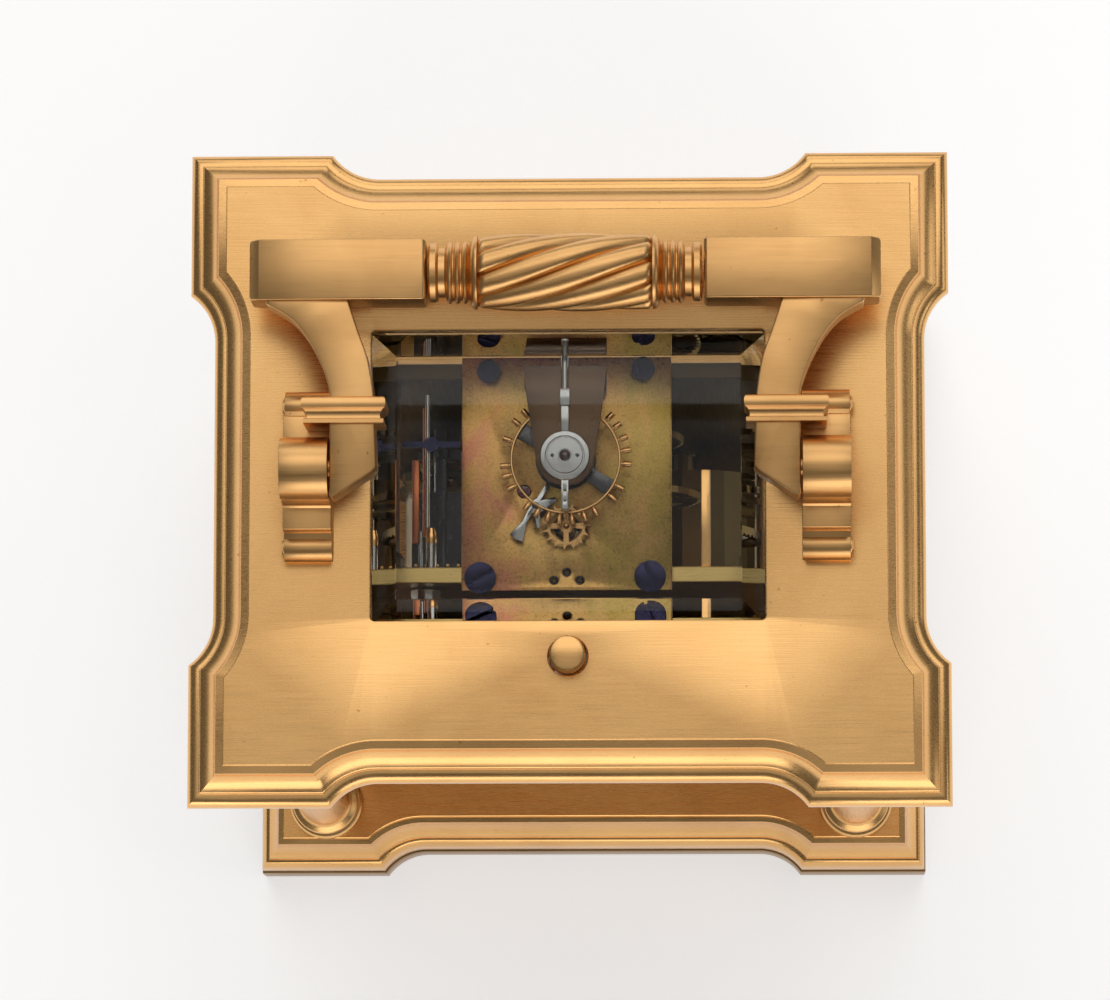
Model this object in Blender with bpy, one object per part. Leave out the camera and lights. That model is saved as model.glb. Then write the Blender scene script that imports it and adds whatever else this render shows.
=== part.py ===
"""Carriage clock: a glazed brass case with a folding handle, and the movement inside it.

Run with: blender --background --python part.py
The model stands on z = 0 with its dial towards -Y and its door towards +Y.
"""
import math

import bmesh
import bpy
from mathutils import Vector
from mathutils.geometry import tessellate_polygon

MM = 0.001

# Clearances, in millimetres
GAP = 0.3            # between two pieces that touch or pass each other
RUN = 0.15           # around a pivot in its hole

# Case: overall sizes
CASE_W = 112.0       # across the ears of the base and the cover
CASE_D = 97.0
FIELD_Z = 150.0      # height of the cover's flat top
EAR = 21.0           # length of each square ear along its side
RECESS = 3.6         # how far the sides stand back between the ears
EAR_ARC_R = 8.6      # concave curve from the ear to the recessed side
ARC_STEPS = 4

# Base
SLAB_H = 8.0
SLAB_INSET = 0.6
BASE_TOP_Z = 24.0
BASE_LIP_INSET = 5.0
BASE_SHELL = 4.0     # thickness over the hollow under the base

# Cover
COVER_H = 18.0
COVER_FOOT_INSET = 4.6
COVER_PLATE = 2.0
COVER_Z = FIELD_Z - COVER_H
WINDOW_W, WINDOW_D = 57.5, 42.8
WINDOW_Y = -0.3
CAVITY_W, CAVITY_D = 74.0, 58.4
TOP_GLASS_T = 3.0
TOP_GLASS_LAP = 2.4
TOP_GLASS_BEVEL = 5.8  # from the glass's edge to its flat top

# Columns and glazed box
COLUMN_R = 4.0
COLUMN_RING_R = 6.0
COLUMN_INSET_X = 12.0
COLUMN_INSET_Y = 10.5
BOX_W, BOX_D = 80.0, 66.0
POST = 5.0
GLASS_T = 2.5

# Back door
DOOR_T = 3.0
DOOR_RAIL = 4.0
DOOR_SWING = 1.0     # free height above and below the door
DOOR_PIN_R = 0.8
DOOR_PIN_IN = 1.9    # from the door's edge to its pivot
DOOR_GLASS_T = 2.0
KNOB_R = 2.2

# Handle
PIVOT_Y = -0.8
PIVOT_Z = FIELD_Z + 11.5
PIVOT_R = 1.5
PIN_FROM = 28.5        # flush pin, from inside the arm to the bracket's outer face
BRACKET_IN, BRACKET_OUT = 34.2, 41.2
BRACKET_BLOCK_H = 7.0
ARM_HALF = 3.2
COLLAR_HALF = 4.2
BLOCK_HALF = 4.0
BAR_REACH = 28.5     # from the pivot to the middle of the grip
BLOCK_X0, BLOCK_X1 = 20.1, 45.6
BLOCK_BEVEL = 1.8
GRIP_R = 5.7
GRIP_HALF = 12.6
GRIP_STRANDS = 8
GRIP_TWIST = math.radians(-119)

# Repeat button and lever
BUTTON_Y = -27.0
BUTTON_R = 2.6
BUTTON_H = 4.5
BUTTON_HEAD_DEPTH = 3.4
BUTTON_STEM_R = 1.2
BUTTON_TRAVEL = 3.0
FINGER_Z = FIELD_Z - 8.5
LEVER_PIVOT_X = -22.0
LEVER_PIVOT_DROP = 24.5

# Movement frame
PLATE_W = 64.0
PLATE_T = 2.4
FRONT_PLATE_Y = -14.3
PLATE_SPACE = 28.2   # between the plates
PLATE_TOP_Z = COVER_Z + 0.7
PILLAR_R = 2.2
PILLAR_X = 28.0
PIVOT_PIN_R = 0.5
PINION_OVER = 0.2      # how far a pinion stands past its wheel at each side
WINDING_R = 2.0        # winding ends behind the back plate
ARBOR_R = 1.0

# Dial and hands
MASK_T = 1.2
MASK_Y = -22.6
DIAL_R = 27.0
DIAL_T = 1.1
DIAL_HOLE_R = 4.0
CENTRE_DROP = 66.0   # from the cover's flat top to the hands
STUD_R = 1.3

# Escapement platform
PLATFORM_W, PLATFORM_D, PLATFORM_T = 31.2, 35.0, 1.8
PLATFORM_X, PLATFORM_Y = -0.6, 1.8
BALANCE_Y = 3.3
BALANCE_R = 8.3
ESCAPE_Y = -6.3
ESCAPE_R = 3.5
ESCAPE_TEETH = 15
COCK_HALF = 6.2         # half width of the balance cock's foot
REGULATOR_R = 3.8
REGULATOR_ARM = 16.3    # from the balance to the arm's tip

# Tooth counts
GREAT, INTER_PINION, INTER = 48, 8, 50
CENTRE_PINION, CENTRE = 10, 64
THIRD_PINION, THIRD = 8, 60
CONTRATE_PINION, CONTRATE, ESCAPE_PINION = 8, 70, 7
PIN_WHEEL, FLY_PINION = 40, 10
CANNON, MINUTE, MINUTE_PINION, HOUR = 12, 36, 10, 40

# Modules of the meshing pairs
M_GREAT, M_INTER, M_CENTRE, M_THIRD = 0.625, 0.65, 0.5, 0.5
M_CANNON, M_HOUR = 0.5, 0.48
CONTRATE_R = 12.0
TOOTH_UP, TOOTH_DOWN = 0.5, 0.95   # tooth height outside and inside the pitch circle, in modules

# Gong
GONG_R0, GONG_R1, GONG_TURNS, GONG_WIRE = 7.6, 21.0, 4.5, 1.2
GONG_DROP = 98.0

# Values that follow from the sizes above
BACK_PLATE_Y = FRONT_PLATE_Y + PLATE_T + PLATE_SPACE
CENTRE_Z = FIELD_Z - CENTRE_DROP
COLUMN_X = CASE_W / 2 - COLUMN_INSET_X
COLUMN_Y = CASE_D / 2 - COLUMN_INSET_Y
PLATFORM_Z = PLATE_TOP_Z + GAP
ESCAPE_Z = PLATFORM_Z + PLATFORM_T + 1.4
BALANCE_Z = ESCAPE_Z + 2.6

MATERIALS = {
    "gilt_brass": ((0.80, 0.55, 0.26), 1.0, 0.28),
    "base_brass": ((0.70, 0.43, 0.19), 1.0, 0.32),
    "handle_brass": ((0.74, 0.52, 0.28), 1.0, 0.3),
    "movement_brass": ((0.62, 0.48, 0.24), 1.0, 0.35),
    "balance_gold": ((0.85, 0.62, 0.28), 1.0, 0.22),
    "steel": ((0.72, 0.73, 0.74), 1.0, 0.2),
    "blued_steel": ((0.06, 0.09, 0.22), 1.0, 0.25),
    "enamel": ((0.92, 0.90, 0.85), 0.0, 0.2),
    "glass": ((0.80, 0.88, 0.86), 0.0, 0.02),
}


# ---------------------------------------------------------------- scene helpers

def clear_scene():
    for item in list(bpy.data.objects):
        bpy.data.objects.remove(item, do_unlink=True)


def material(slot):
    found = bpy.data.materials.get(slot)
    if found:
        return found
    colour, metallic, roughness = MATERIALS[slot]
    new = bpy.data.materials.new(slot)
    new.use_nodes = True
    shader = new.node_tree.nodes["Principled BSDF"]
    shader.inputs["Base Color"].default_value = (*colour, 1.0)
    shader.inputs["Metallic"].default_value = metallic
    shader.inputs["Roughness"].default_value = roughness
    return new


def make_object(name, mesh_data, slot, origin=(0, 0, 0)):
    """Turn a bmesh in millimetres into an object in metres with its origin on its joint."""
    offset = Vector(origin)
    for vert in mesh_data.verts:
        vert.co = (vert.co - offset) * MM
    bmesh.ops.recalc_face_normals(mesh_data, faces=mesh_data.faces)
    mesh = bpy.data.meshes.new(name)
    mesh_data.to_mesh(mesh)
    mesh_data.free()
    mesh.materials.append(material(slot))
    made = bpy.data.objects.new(name, mesh)
    made.location = offset * MM
    bpy.context.scene.collection.objects.link(made)
    return made


def combine(base, joins=(), cuts=()):
    """Unite solids with a base solid and cut others from it; all are bmeshes in millimetres."""
    holders = []
    for part in (base, *joins, *cuts):
        mesh = bpy.data.meshes.new("work")
        bmesh.ops.recalc_face_normals(part, faces=part.faces)
        part.to_mesh(mesh)
        part.free()
        holder = bpy.data.objects.new("work", mesh)
        bpy.context.scene.collection.objects.link(holder)
        holders.append(holder)
    for index, tool in enumerate(holders[1:]):
        step = holders[0].modifiers.new("step", "BOOLEAN")
        step.operation = "UNION" if index < len(joins) else "DIFFERENCE"
        step.object = tool
    view = bpy.context.evaluated_depsgraph_get()
    result = bmesh.new()
    result.from_mesh(holders[0].evaluated_get(view).to_mesh())
    for holder in holders:
        mesh = holder.data
        bpy.data.objects.remove(holder, do_unlink=True)
        bpy.data.meshes.remove(mesh)
    bmesh.ops.remove_doubles(result, verts=result.verts, dist=0.001)
    bmesh.ops.dissolve_limit(result, angle_limit=0.002, verts=result.verts, edges=result.edges)
    bmesh.ops.triangulate(result, faces=result.faces)
    return result


# ---------------------------------------------------------------- shapes

def place(u, v, t, axis):
    """Put a point of a flat outline at height t along an axis."""
    return {"X": (t, u, v), "Y": (u, t, v), "Z": (u, v, t)}[axis]


def loft(rings, closed=False):
    """Skin rings of equal point counts; a closed loft joins its last ring to its first."""
    mesh = bmesh.new()
    rows = [[mesh.verts.new(point) for point in ring] for ring in rings]
    pairs = list(zip(rows, rows[1:]))
    if closed:
        pairs.append((rows[-1], rows[0]))
    for lower, upper in pairs:
        for i in range(len(lower)):
            j = (i + 1) % len(lower)
            mesh.faces.new((lower[i], lower[j], upper[j], upper[i]))
    if not closed:
        mesh.faces.new(list(reversed(rows[0])))
        mesh.faces.new(rows[-1])
    return mesh


def prism(outline, low, high, axis="Z", holes=()):
    """Extrude a flat outline, with any holes, from low to high along an axis."""
    loops = [list(outline), *[list(hole) for hole in holes]]
    flat = [[Vector((u, v, 0)) for u, v in loop] for loop in loops]
    triangles = tessellate_polygon(flat)
    mesh = bmesh.new()
    ends = []
    for t in (low, high):
        ends.append([mesh.verts.new(place(u, v, t, axis)) for loop in loops for u, v in loop])
    for tri in triangles:
        mesh.faces.new([ends[0][i] for i in tri])
        mesh.faces.new([ends[1][i] for i in reversed(tri)])
    start = 0
    for loop in loops:
        count = len(loop)
        for i in range(count):
            a, b = start + i, start + (i + 1) % count
            mesh.faces.new((ends[0][a], ends[0][b], ends[1][b], ends[1][a]))
        start += count
    return mesh


def circle(radius, count, centre=(0, 0), phase=0.0):
    turn = 2 * math.pi / count
    return [(centre[0] + radius * math.cos(phase + i * turn),
             centre[1] + radius * math.sin(phase + i * turn)) for i in range(count)]


def rectangle(u0, u1, v0, v1):
    return [(u0, v0), (u1, v0), (u1, v1), (u0, v1)]


def box(x0, x1, y0, y1, z0, z1):
    return prism(rectangle(x0, x1, y0, y1), z0, z1)


def lathe(profile, centre, axis="Z", count=16, closed=False):
    """Turn a profile of (radius, height) pairs about an axis through a centre (u, v)."""
    rings = []
    for radius, height in profile:
        rings.append([place(u, v, height, axis) for u, v in circle(radius, count, centre)])
    return loft(rings, closed)


def rod(radius, low, high, centre, axis="Z", count=12):
    return lathe([(radius, low), (radius, high)], centre, axis, count)


def tube(inner, outer, low, high, centre, axis="Z", count=16):
    return lathe([(inner, low), (outer, low), (outer, high), (inner, high)],
                 centre, axis, count, closed=True)


def teeth(count, module, centre, phase):
    """Outline of a wheel: pointed teeth about its pitch circle, the first at the phase."""
    pitch = count * module / 2
    step = math.pi / count
    points = []
    for i in range(2 * count):
        radius = pitch + (TOOTH_UP if i % 2 == 0 else -TOOTH_DOWN) * module
        angle = phase + i * step
        points.append((centre[0] + radius * math.cos(angle), centre[1] + radius * math.sin(angle)))
    return points


def spokes(centre, hub, rim, arms=4, width=0.22, steps=3):
    """Openings between a wheel's arms, as sectors between hub and rim."""
    holes = []
    for arm in range(arms):
        start = 2 * math.pi * arm / arms + width
        end = 2 * math.pi * (arm + 1) / arms - width
        angles = [start + (end - start) * i / steps for i in range(steps + 1)]
        outer = [(centre[0] + rim * math.cos(a), centre[1] + rim * math.sin(a)) for a in angles]
        inner = [(centre[0] + hub * math.cos(a), centre[1] + hub * math.sin(a))
                 for a in reversed(angles)]
        holes.append(outer + inner)
    return holes


# ---------------------------------------------------------------- plan of the base and cover

def side_points(half, reach, inset):
    """One side of the plan as (along, out): ear end, curve, recessed side, curve, ear end, corner."""
    centre_u = half - EAR - math.sqrt(EAR_ARC_R ** 2 - (EAR_ARC_R - RECESS) ** 2)
    radius = EAR_ARC_R + inset
    centre_v = reach - RECESS + EAR_ARC_R
    turn = math.acos((radius - RECESS) / radius)
    curve = []
    for i in range(ARC_STEPS + 1):
        angle = turn * (1 - i / ARC_STEPS)
        curve.append((centre_u + radius * math.sin(angle), centre_v - radius * math.cos(angle)))
    left = [(-u, v) for u, v in curve]
    return left + list(reversed(curve)) + [(half - inset, reach - inset)]


def plan_ring(inset, z):
    """The plan with ears, moved in by an inset, at a height."""
    ring = []
    halves = (CASE_W / 2, CASE_D / 2)
    for quarter in range(4):
        half, reach = halves if quarter % 2 == 0 else reversed(halves)
        angle = quarter * math.pi / 2
        for u, v in side_points(half, reach, inset):
            x = u * math.cos(angle) + v * math.sin(angle)
            y = u * math.sin(angle) - v * math.cos(angle)
            ring.append((x, y, z))
    return ring


def opening_ring(width, depth, z, centre_y=0.0):
    """A rectangle with the same number of points as the plan."""
    ring = []
    halves = (CASE_W / 2, CASE_D / 2)
    spans = (width / 2, depth / 2)
    for quarter in range(4):
        half, reach = halves if quarter % 2 == 0 else reversed(halves)
        along, out = spans if quarter % 2 == 0 else reversed(spans)
        angle = quarter * math.pi / 2
        for u, _ in side_points(half, reach, 0.0):
            u = u * along / half
            x = u * math.cos(angle) + out * math.sin(angle)
            y = u * math.sin(angle) - out * math.cos(angle)
            ring.append((x, y + centre_y, z))
    return ring


def cove(start, end, steps=4):
    """Hollow quarter curve between two profile points (inset, z), level at its start."""
    points = []
    for i in range(steps + 1):
        angle = math.pi / 2 * i / steps
        points.append((start[0] + (end[0] - start[0]) * math.sin(angle),
                       end[1] + (start[1] - end[1]) * math.cos(angle)))
    return points


def ovolo(start, end, steps=3):
    """Round quarter curve between two profile points (inset, z), upright at its start."""
    points = []
    for i in range(steps + 1):
        angle = math.pi / 2 * i / steps
        points.append((end[0] + (start[0] - end[0]) * math.cos(angle),
                       start[1] + (end[1] - start[1]) * math.sin(angle)))
    return points


# ---------------------------------------------------------------- case

def door_pivot():
    return BOX_W / 2 - POST - 2 * GAP - DOOR_PIN_IN, BOX_D / 2 - GAP - DOOR_T / 2


def build_base():
    slab = [plan_ring(SLAB_INSET, 0.0), plan_ring(SLAB_INSET, SLAB_H)]
    make_object("base_slab", loft(slab), "base_brass")

    low = SLAB_H + GAP
    rise = BASE_TOP_Z - low
    lip = BASE_LIP_INSET
    profile = [(0.4, low), (0.0, low + 0.4)]
    profile += ovolo((0.0, low + 0.13 * rise), (0.42 * lip, low + 0.38 * rise))
    profile += [(0.5 * lip, low + 0.4 * rise), (0.5 * lip, low + 0.46 * rise)]
    profile += ovolo((0.54 * lip, low + 0.5 * rise), (0.74 * lip, low + 0.64 * rise), 2)
    profile += ovolo((0.76 * lip, low + 0.68 * rise), (0.94 * lip, low + 0.84 * rise), 2)
    profile += [(lip, low + 0.86 * rise), (lip, BASE_TOP_Z)]
    rings = [plan_ring(inset, z) for inset, z in profile]
    inner_w, inner_d = CASE_W - 28.0, CASE_D - 28.0
    hollow = [opening_ring(inner_w, inner_d, BASE_TOP_Z - BASE_SHELL), opening_ring(inner_w, inner_d, low)]
    pin_x, pin_y = door_pivot()
    hole = rod(DOOR_PIN_R + RUN, BASE_TOP_Z - 2.0, BASE_TOP_Z + 1.0, (pin_x, pin_y))
    body = combine(loft(hollow + rings), cuts=[hole])
    make_object("base_moulding", body, "base_brass")


def build_cover():
    top = FIELD_Z
    foot = COVER_FOOT_INSET
    profile = [(foot, COVER_Z), (foot, top - 12.0), (foot - 0.9, top - 10.2), (foot - 1.9, top - 8.6)]
    profile += [(2.0, top - 8.0), (0.3, top - 8.0), (0.0, top - 7.7)]
    profile += ovolo((0.0, top - 5.6), (0.9, top - 4.7))
    profile += [(1.8, top - 4.6)]
    profile += cove((1.8, top - 3.9), (4.1, top - 1.0))
    profile += [(4.8, top - 0.95), (4.8, top)]
    rings = [plan_ring(inset, z) for inset, z in profile]
    ceiling = FIELD_Z - COVER_PLATE
    rings += [opening_ring(WINDOW_W, WINDOW_D, FIELD_Z, WINDOW_Y),
              opening_ring(WINDOW_W, WINDOW_D, ceiling, WINDOW_Y),
              opening_ring(CAVITY_W, CAVITY_D, ceiling),
              opening_ring(CAVITY_W, CAVITY_D, COVER_Z)]
    pin_x, pin_y = door_pivot()
    well = FIELD_Z - BUTTON_HEAD_DEPTH - BUTTON_TRAVEL - GAP
    cuts = [rod(BUTTON_R + GAP, well, FIELD_Z + 1.0, (0, BUTTON_Y), count=20),
            rod(DOOR_PIN_R + RUN, COVER_Z - 1.0, COVER_Z + 2.0, (pin_x, pin_y))]
    make_object("top_cover", combine(loft(rings, closed=True), cuts=cuts), "gilt_brass")


def build_columns():
    low, high = BASE_TOP_Z + GAP, COVER_Z - GAP
    ring, shaft = COLUMN_RING_R, COLUMN_R
    foot = [(ring, 0.0), (ring, 2.2), (ring - 0.8, 3.0), (shaft + 0.6, 3.4), (shaft + 1.4, 4.4),
            (shaft + 0.6, 5.4), (shaft, 6.0)]
    profile = [(radius, low + height) for radius, height in foot]
    profile += [(radius - (0.6 if radius == ring else 0.0), high - height)
                for radius, height in reversed(foot)]
    for side_y, depth in (("front", -1), ("back", 1)):
        for side_x, across in (("left", -1), ("right", 1)):
            centre = (across * COLUMN_X, depth * COLUMN_Y)
            make_object(f"column_{side_y}_{side_x}", lathe(profile, centre, count=14), "gilt_brass")


def build_glazed_box():
    low, high = BASE_TOP_Z + GAP, COVER_Z - GAP
    half_w, half_d = BOX_W / 2, BOX_D / 2
    for side_y, depth in (("front", -1), ("back", 1)):
        for side_x, across in (("left", -1), ("right", 1)):
            xs = sorted((across * half_w, across * (half_w - POST)))
            ys = sorted((depth * half_d, depth * (half_d - POST)))
            make_object(f"post_{side_y}_{side_x}", box(*xs, *ys, low, high), "gilt_brass")
    pane = half_w - POST - GAP
    front = -(half_d - 0.5)
    make_object("front_glass", box(-pane, pane, front, front + GLASS_T, low, high), "glass")
    pane = half_d - POST - GAP
    for side_x, across in (("left", -1), ("right", 1)):
        xs = sorted((across * (half_w - 0.5), across * (half_w - 0.5 - GLASS_T)))
        make_object(f"{side_x}_glass", box(*xs, -pane, pane, low, high), "glass")
    top = FIELD_Z - COVER_PLATE - GAP
    half_w, half_d = WINDOW_W / 2 + TOP_GLASS_LAP, WINDOW_D / 2 + TOP_GLASS_LAP
    levels = [(0.0, top - TOP_GLASS_T), (0.0, top - 1.2), (1.0, top - 1.0), (TOP_GLASS_BEVEL, top)]
    rings = []
    for inset, z in levels:
        outline = rectangle(inset - half_w, half_w - inset, inset - half_d, half_d - inset)
        rings.append([(x, y + WINDOW_Y, z) for x, y in outline])
    make_object("top_glass", loft(rings), "glass")


def build_door():
    pin_x, pin_y = door_pivot()
    half = pin_x + DOOR_PIN_IN
    y0, y1 = pin_y - DOOR_T / 2, pin_y + DOOR_T / 2
    low, high = BASE_TOP_Z + DOOR_SWING, COVER_Z - DOOR_SWING
    sight = rectangle(DOOR_RAIL - half, half - DOOR_RAIL, low + DOOR_RAIL, high - DOOR_RAIL)
    frame = prism(rectangle(-half, half, low, high), y0, y1, "Y", [sight])
    pins = [rod(DOOR_PIN_R, BASE_TOP_Z - 1.5, low + 1.0, (pin_x, pin_y)),
            rod(DOOR_PIN_R, high - 1.0, COVER_Z + 1.5, (pin_x, pin_y))]
    origin = (pin_x, pin_y, 0)
    make_object("door_frame", combine(frame, joins=pins), "gilt_brass", origin)
    edge = DOOR_RAIL + GAP
    glass = box(edge - half, half - edge, pin_y - DOOR_GLASS_T / 2, pin_y + DOOR_GLASS_T / 2,
                low + edge, high - edge)
    make_object("door_glass", glass, "glass", origin)
    knob_x = DOOR_RAIL / 2 - half
    knob = [(1.2, y1 + GAP), (1.2, y1 + 1.6), (KNOB_R, y1 + 2.4), (KNOB_R, y1 + 4.4), (1.4, y1 + 5.4)]
    make_object("door_knob", lathe(knob, (knob_x, CENTRE_Z), "Y"), "gilt_brass", origin)


# ---------------------------------------------------------------- handle

def scroll_profile():
    """Outline of a bracket in (y, z): roll, block, large round, block, roll."""
    base = FIELD_Z + GAP
    points = []
    for i in range(7):
        angle = math.pi * (1.25 - i / 8)
        points.append((-10.4 + 2.1 * math.cos(angle), base + 2.0 + 2.1 * math.sin(angle)))
    points += [(-8.4, base + 4.0), (-8.4, base - GAP + BRACKET_BLOCK_H),
               (-4.8, base - GAP + BRACKET_BLOCK_H), (-4.6, base + 8.6)]
    for i in range(9):
        angle = math.pi * (1.14 - 1.28 * i / 8)
        points.append((4.5 * math.cos(angle), PIVOT_Z + 4.5 * math.sin(angle)))
    left = points[:11]
    points += [(-y, z) for y, z in reversed(left)]
    points += [(11.0, base), (-11.0, base)]
    return [(y + PIVOT_Y, z) for y, z in points]


def build_brackets():
    for side, across in (("left", -1), ("right", 1)):
        xs = sorted((across * BRACKET_IN, across * BRACKET_OUT))
        body = prism(scroll_profile(), *xs, "X")
        hole = rod(PIVOT_R + RUN, xs[0] - 1, xs[1] + 1, (PIVOT_Y, PIVOT_Z), "X")
        make_object(f"handle_bracket_{side}", combine(body, cuts=[hole]), "gilt_brass")
        profile = [(PIVOT_R, PIN_FROM), (PIVOT_R, BRACKET_OUT)]
        screw = lathe([(r, across * x) for r, x in profile], (PIVOT_Y, PIVOT_Z), "X", 12)
        make_object(f"handle_screw_{side}", screw, "gilt_brass")


def arm_outline(across):
    """Arm in (x, y) from its chisel-cut end up to the end block."""
    reach = [(27.2, -0.3), (33.5, -4.7), (33.9, -4.2), (33.9, 10.6), (35.5, 15.3), (37.5, 18.9), (39.8, 21.6),
             (42.8, 23.4), (42.8, 25.5), (32.5, 25.5), (29.8, 19.3), (28.2, 15.3), (27.6, 10.4), (27.2, 6.0)]
    return [(across * x, PIVOT_Y + s) for x, s in reach]


def build_handle():
    origin = (0, PIVOT_Y, PIVOT_Z)
    bar_y = PIVOT_Y + BAR_REACH
    for side, across in (("left", -1), ("right", 1)):
        arm = prism(arm_outline(across), PIVOT_Z - ARM_HALF, PIVOT_Z + ARM_HALF)
        xs = sorted((across * 25.8, across * 38.0))
        collar = box(*xs, PIVOT_Y + 6.0, PIVOT_Y + 9.9, PIVOT_Z - COLLAR_HALF, PIVOT_Z + COLLAR_HALF)
        half = BLOCK_HALF + 0.45
        ends = []
        for x, cut in ((BLOCK_X0, 0.0), (BLOCK_X1 - BLOCK_BEVEL, 0.0), (BLOCK_X1, BLOCK_BEVEL)):
            outline = rectangle(bar_y - half + cut, bar_y + half - cut,
                                PIVOT_Z - BLOCK_HALF + cut, PIVOT_Z + BLOCK_HALF - cut)
            ends.append([(across * x, y, z) for y, z in outline])
        hole = rod(PIVOT_R + RUN, across * 25.0, across * 36.0, (PIVOT_Y, PIVOT_Z), "X")
        body = combine(arm, joins=[collar, loft(ends)], cuts=[hole])
        make_object(f"handle_arm_{side}", body, "handle_brass", origin)
    make_object("handle_grip", grip_mesh(bar_y), "handle_brass", origin)


def grip_mesh(bar_y):
    """Twisted grip between turned rings, along X."""
    end = BLOCK_X0 - GAP
    rings = [(end, 4.3), (end - 1.4, 4.3), (end - 1.8, 3.6), (end - 2.6, 3.6), (end - 3.0, 4.3),
             (end - 4.2, 4.3), (end - 4.6, 3.7), (end - 5.8, 3.7), (end - 6.2, 5.2), (GRIP_HALF, 5.2)]
    steps = 20
    stations = [(-x, r, r) for x, r in rings]
    for i in range(steps + 1):
        x = GRIP_HALF * (2 * i / steps - 1)
        swell = 0.35 * (1 - (x / GRIP_HALF) ** 2)
        stations.append((x * 0.985, GRIP_R - 0.35 + swell, GRIP_R - 1.4 + swell))
    stations += [(x, r, r) for x, r in reversed(rings)]
    loops = []
    for x, ridge, groove in stations:
        turn = GRIP_TWIST * x / (2 * GRIP_HALF)
        loop = []
        for i in range(2 * GRIP_STRANDS):
            radius = ridge if i % 2 == 0 else groove
            angle = turn + math.pi * i / GRIP_STRANDS
            loop.append((x, bar_y + radius * math.cos(angle), PIVOT_Z + radius * math.sin(angle)))
        loops.append(loop)
    return loft(loops)


# ---------------------------------------------------------------- repeat work

def lever_pivot():
    return LEVER_PIVOT_X, FIELD_Z - LEVER_PIVOT_DROP


def build_repeat():
    top = FIELD_Z + BUTTON_H
    stem_low = FINGER_Z + GAP
    shoulder = FIELD_Z - BUTTON_HEAD_DEPTH
    profile = [(BUTTON_STEM_R, stem_low), (BUTTON_STEM_R, shoulder), (BUTTON_R, shoulder),
               (BUTTON_R, top - 0.5), (BUTTON_R - 0.5, top)]
    make_object("repeat_button", lathe(profile, (0, BUTTON_Y), count=20), "gilt_brass")

    px, pz = lever_pivot()
    y0, y1 = MASK_Y + MASK_T + GAP, MASK_Y + MASK_T + GAP + 1.2
    arm = [(px - 2.2, pz), (px - 1.2, pz - 2.0), (px + 1.2, pz - 2.0), (px + 2.4, pz),
           (px + 3.2, FINGER_Z - 3.6), (3.0, FINGER_Z - 3.6), (3.0, FINGER_Z), (px + 1.0, FINGER_Z)]
    finger = box(-3.0, 3.0, BUTTON_Y - BUTTON_STEM_R, y1, FINGER_Z - 1.4, FINGER_Z)
    hole = rod(STUD_R + RUN, y0 - 1, y1 + 1, (px, pz), "Y")
    lever = combine(prism(arm, y0, y1, "Y"), joins=[finger], cuts=[hole])
    make_object("repeat_lever", lever, "steel", (px, 0, pz))
    stud = lathe([(STUD_R, y0), (STUD_R, y1 + GAP), (2.2, y1 + GAP), (2.2, FRONT_PLATE_Y - GAP)],
                 (px, pz), "Y", 12)
    make_object("repeat_lever_stud", stud, "steel")


# ---------------------------------------------------------------- movement

def meeting(a, b, ra, rb, side):
    """Centre at distance ra from a and rb from b, on one side of the line from a to b."""
    ax, az = a
    bx, bz = b
    span = math.hypot(bx - ax, bz - az)
    along = (ra ** 2 - rb ** 2 + span ** 2) / (2 * span)
    off = math.sqrt(max(ra ** 2 - along ** 2, 0.0))
    ux, uz = (bx - ax) / span, (bz - az) / span
    return ax + along * ux - side * off * uz, az + along * uz + side * off * ux


def train_centres():
    """Places of the arbors in (x, z), each pair a pitch distance apart."""
    centre = (0.0, CENTRE_Z)
    contrate = (PLATFORM_X, CENTRE_Z + 34.0)
    barrel = (15.8, CENTRE_Z - 32.0)
    inter = meeting(barrel, centre, (GREAT + INTER_PINION) * M_GREAT / 2,
                    (INTER + CENTRE_PINION) * M_INTER / 2, -1)
    third = meeting(centre, contrate, (CENTRE + THIRD_PINION) * M_CENTRE / 2,
                    (THIRD + CONTRATE_PINION) * M_THIRD / 2, -1)
    strike_barrel = (-barrel[0], barrel[1])
    pin_wheel = (-inter[0], inter[1])
    reach = (PIN_WHEEL + FLY_PINION) * M_INTER / 2
    fly = (pin_wheel[0] - reach * math.cos(math.radians(55)),
           pin_wheel[1] + reach * math.sin(math.radians(55)))
    minute_reach = (CANNON + MINUTE) * M_CANNON / 2
    minute = (centre[0] + minute_reach * math.cos(math.radians(-60)),
              centre[1] + minute_reach * math.sin(math.radians(-60)))
    return {"centre": centre, "contrate": contrate, "barrel": barrel, "inter": inter, "third": third,
            "strike_barrel": strike_barrel, "pin_wheel": pin_wheel, "fly": fly, "minute": minute}


def aim(a, b):
    return math.atan2(b[1] - a[1], b[0] - a[0])


def mesh_phases(a, b, teeth_b):
    """First tooth of a points at b, and a gap of b points back at a."""
    return aim(a, b), aim(b, a) + math.pi / teeth_b


def arbor(centre):
    """Arbor between the plates with thin pivots that run in them."""
    inner_low, inner_high = FRONT_PLATE_Y + PLATE_T + GAP, BACK_PLATE_Y - GAP
    profile = [(PIVOT_PIN_R, FRONT_PLATE_Y), (PIVOT_PIN_R, inner_low), (ARBOR_R, inner_low),
               (ARBOR_R, inner_high), (PIVOT_PIN_R, inner_high), (PIVOT_PIN_R, BACK_PLATE_Y + PLATE_T)]
    return lathe(profile, centre, "Y", 10)


def wheel(count, module, centre, phase, low, high, hub=2.4):
    pitch = count * module / 2
    rim = pitch - TOOTH_DOWN * module - 1.6
    return prism(teeth(count, module, centre, phase), low, high, "Y", spokes(centre, hub, rim))


def overlapping(layer):
    """Heights of a pinion that is a little longer than the wheel it turns in."""
    return layer[0] - PINION_OVER, layer[1] + PINION_OVER


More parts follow.
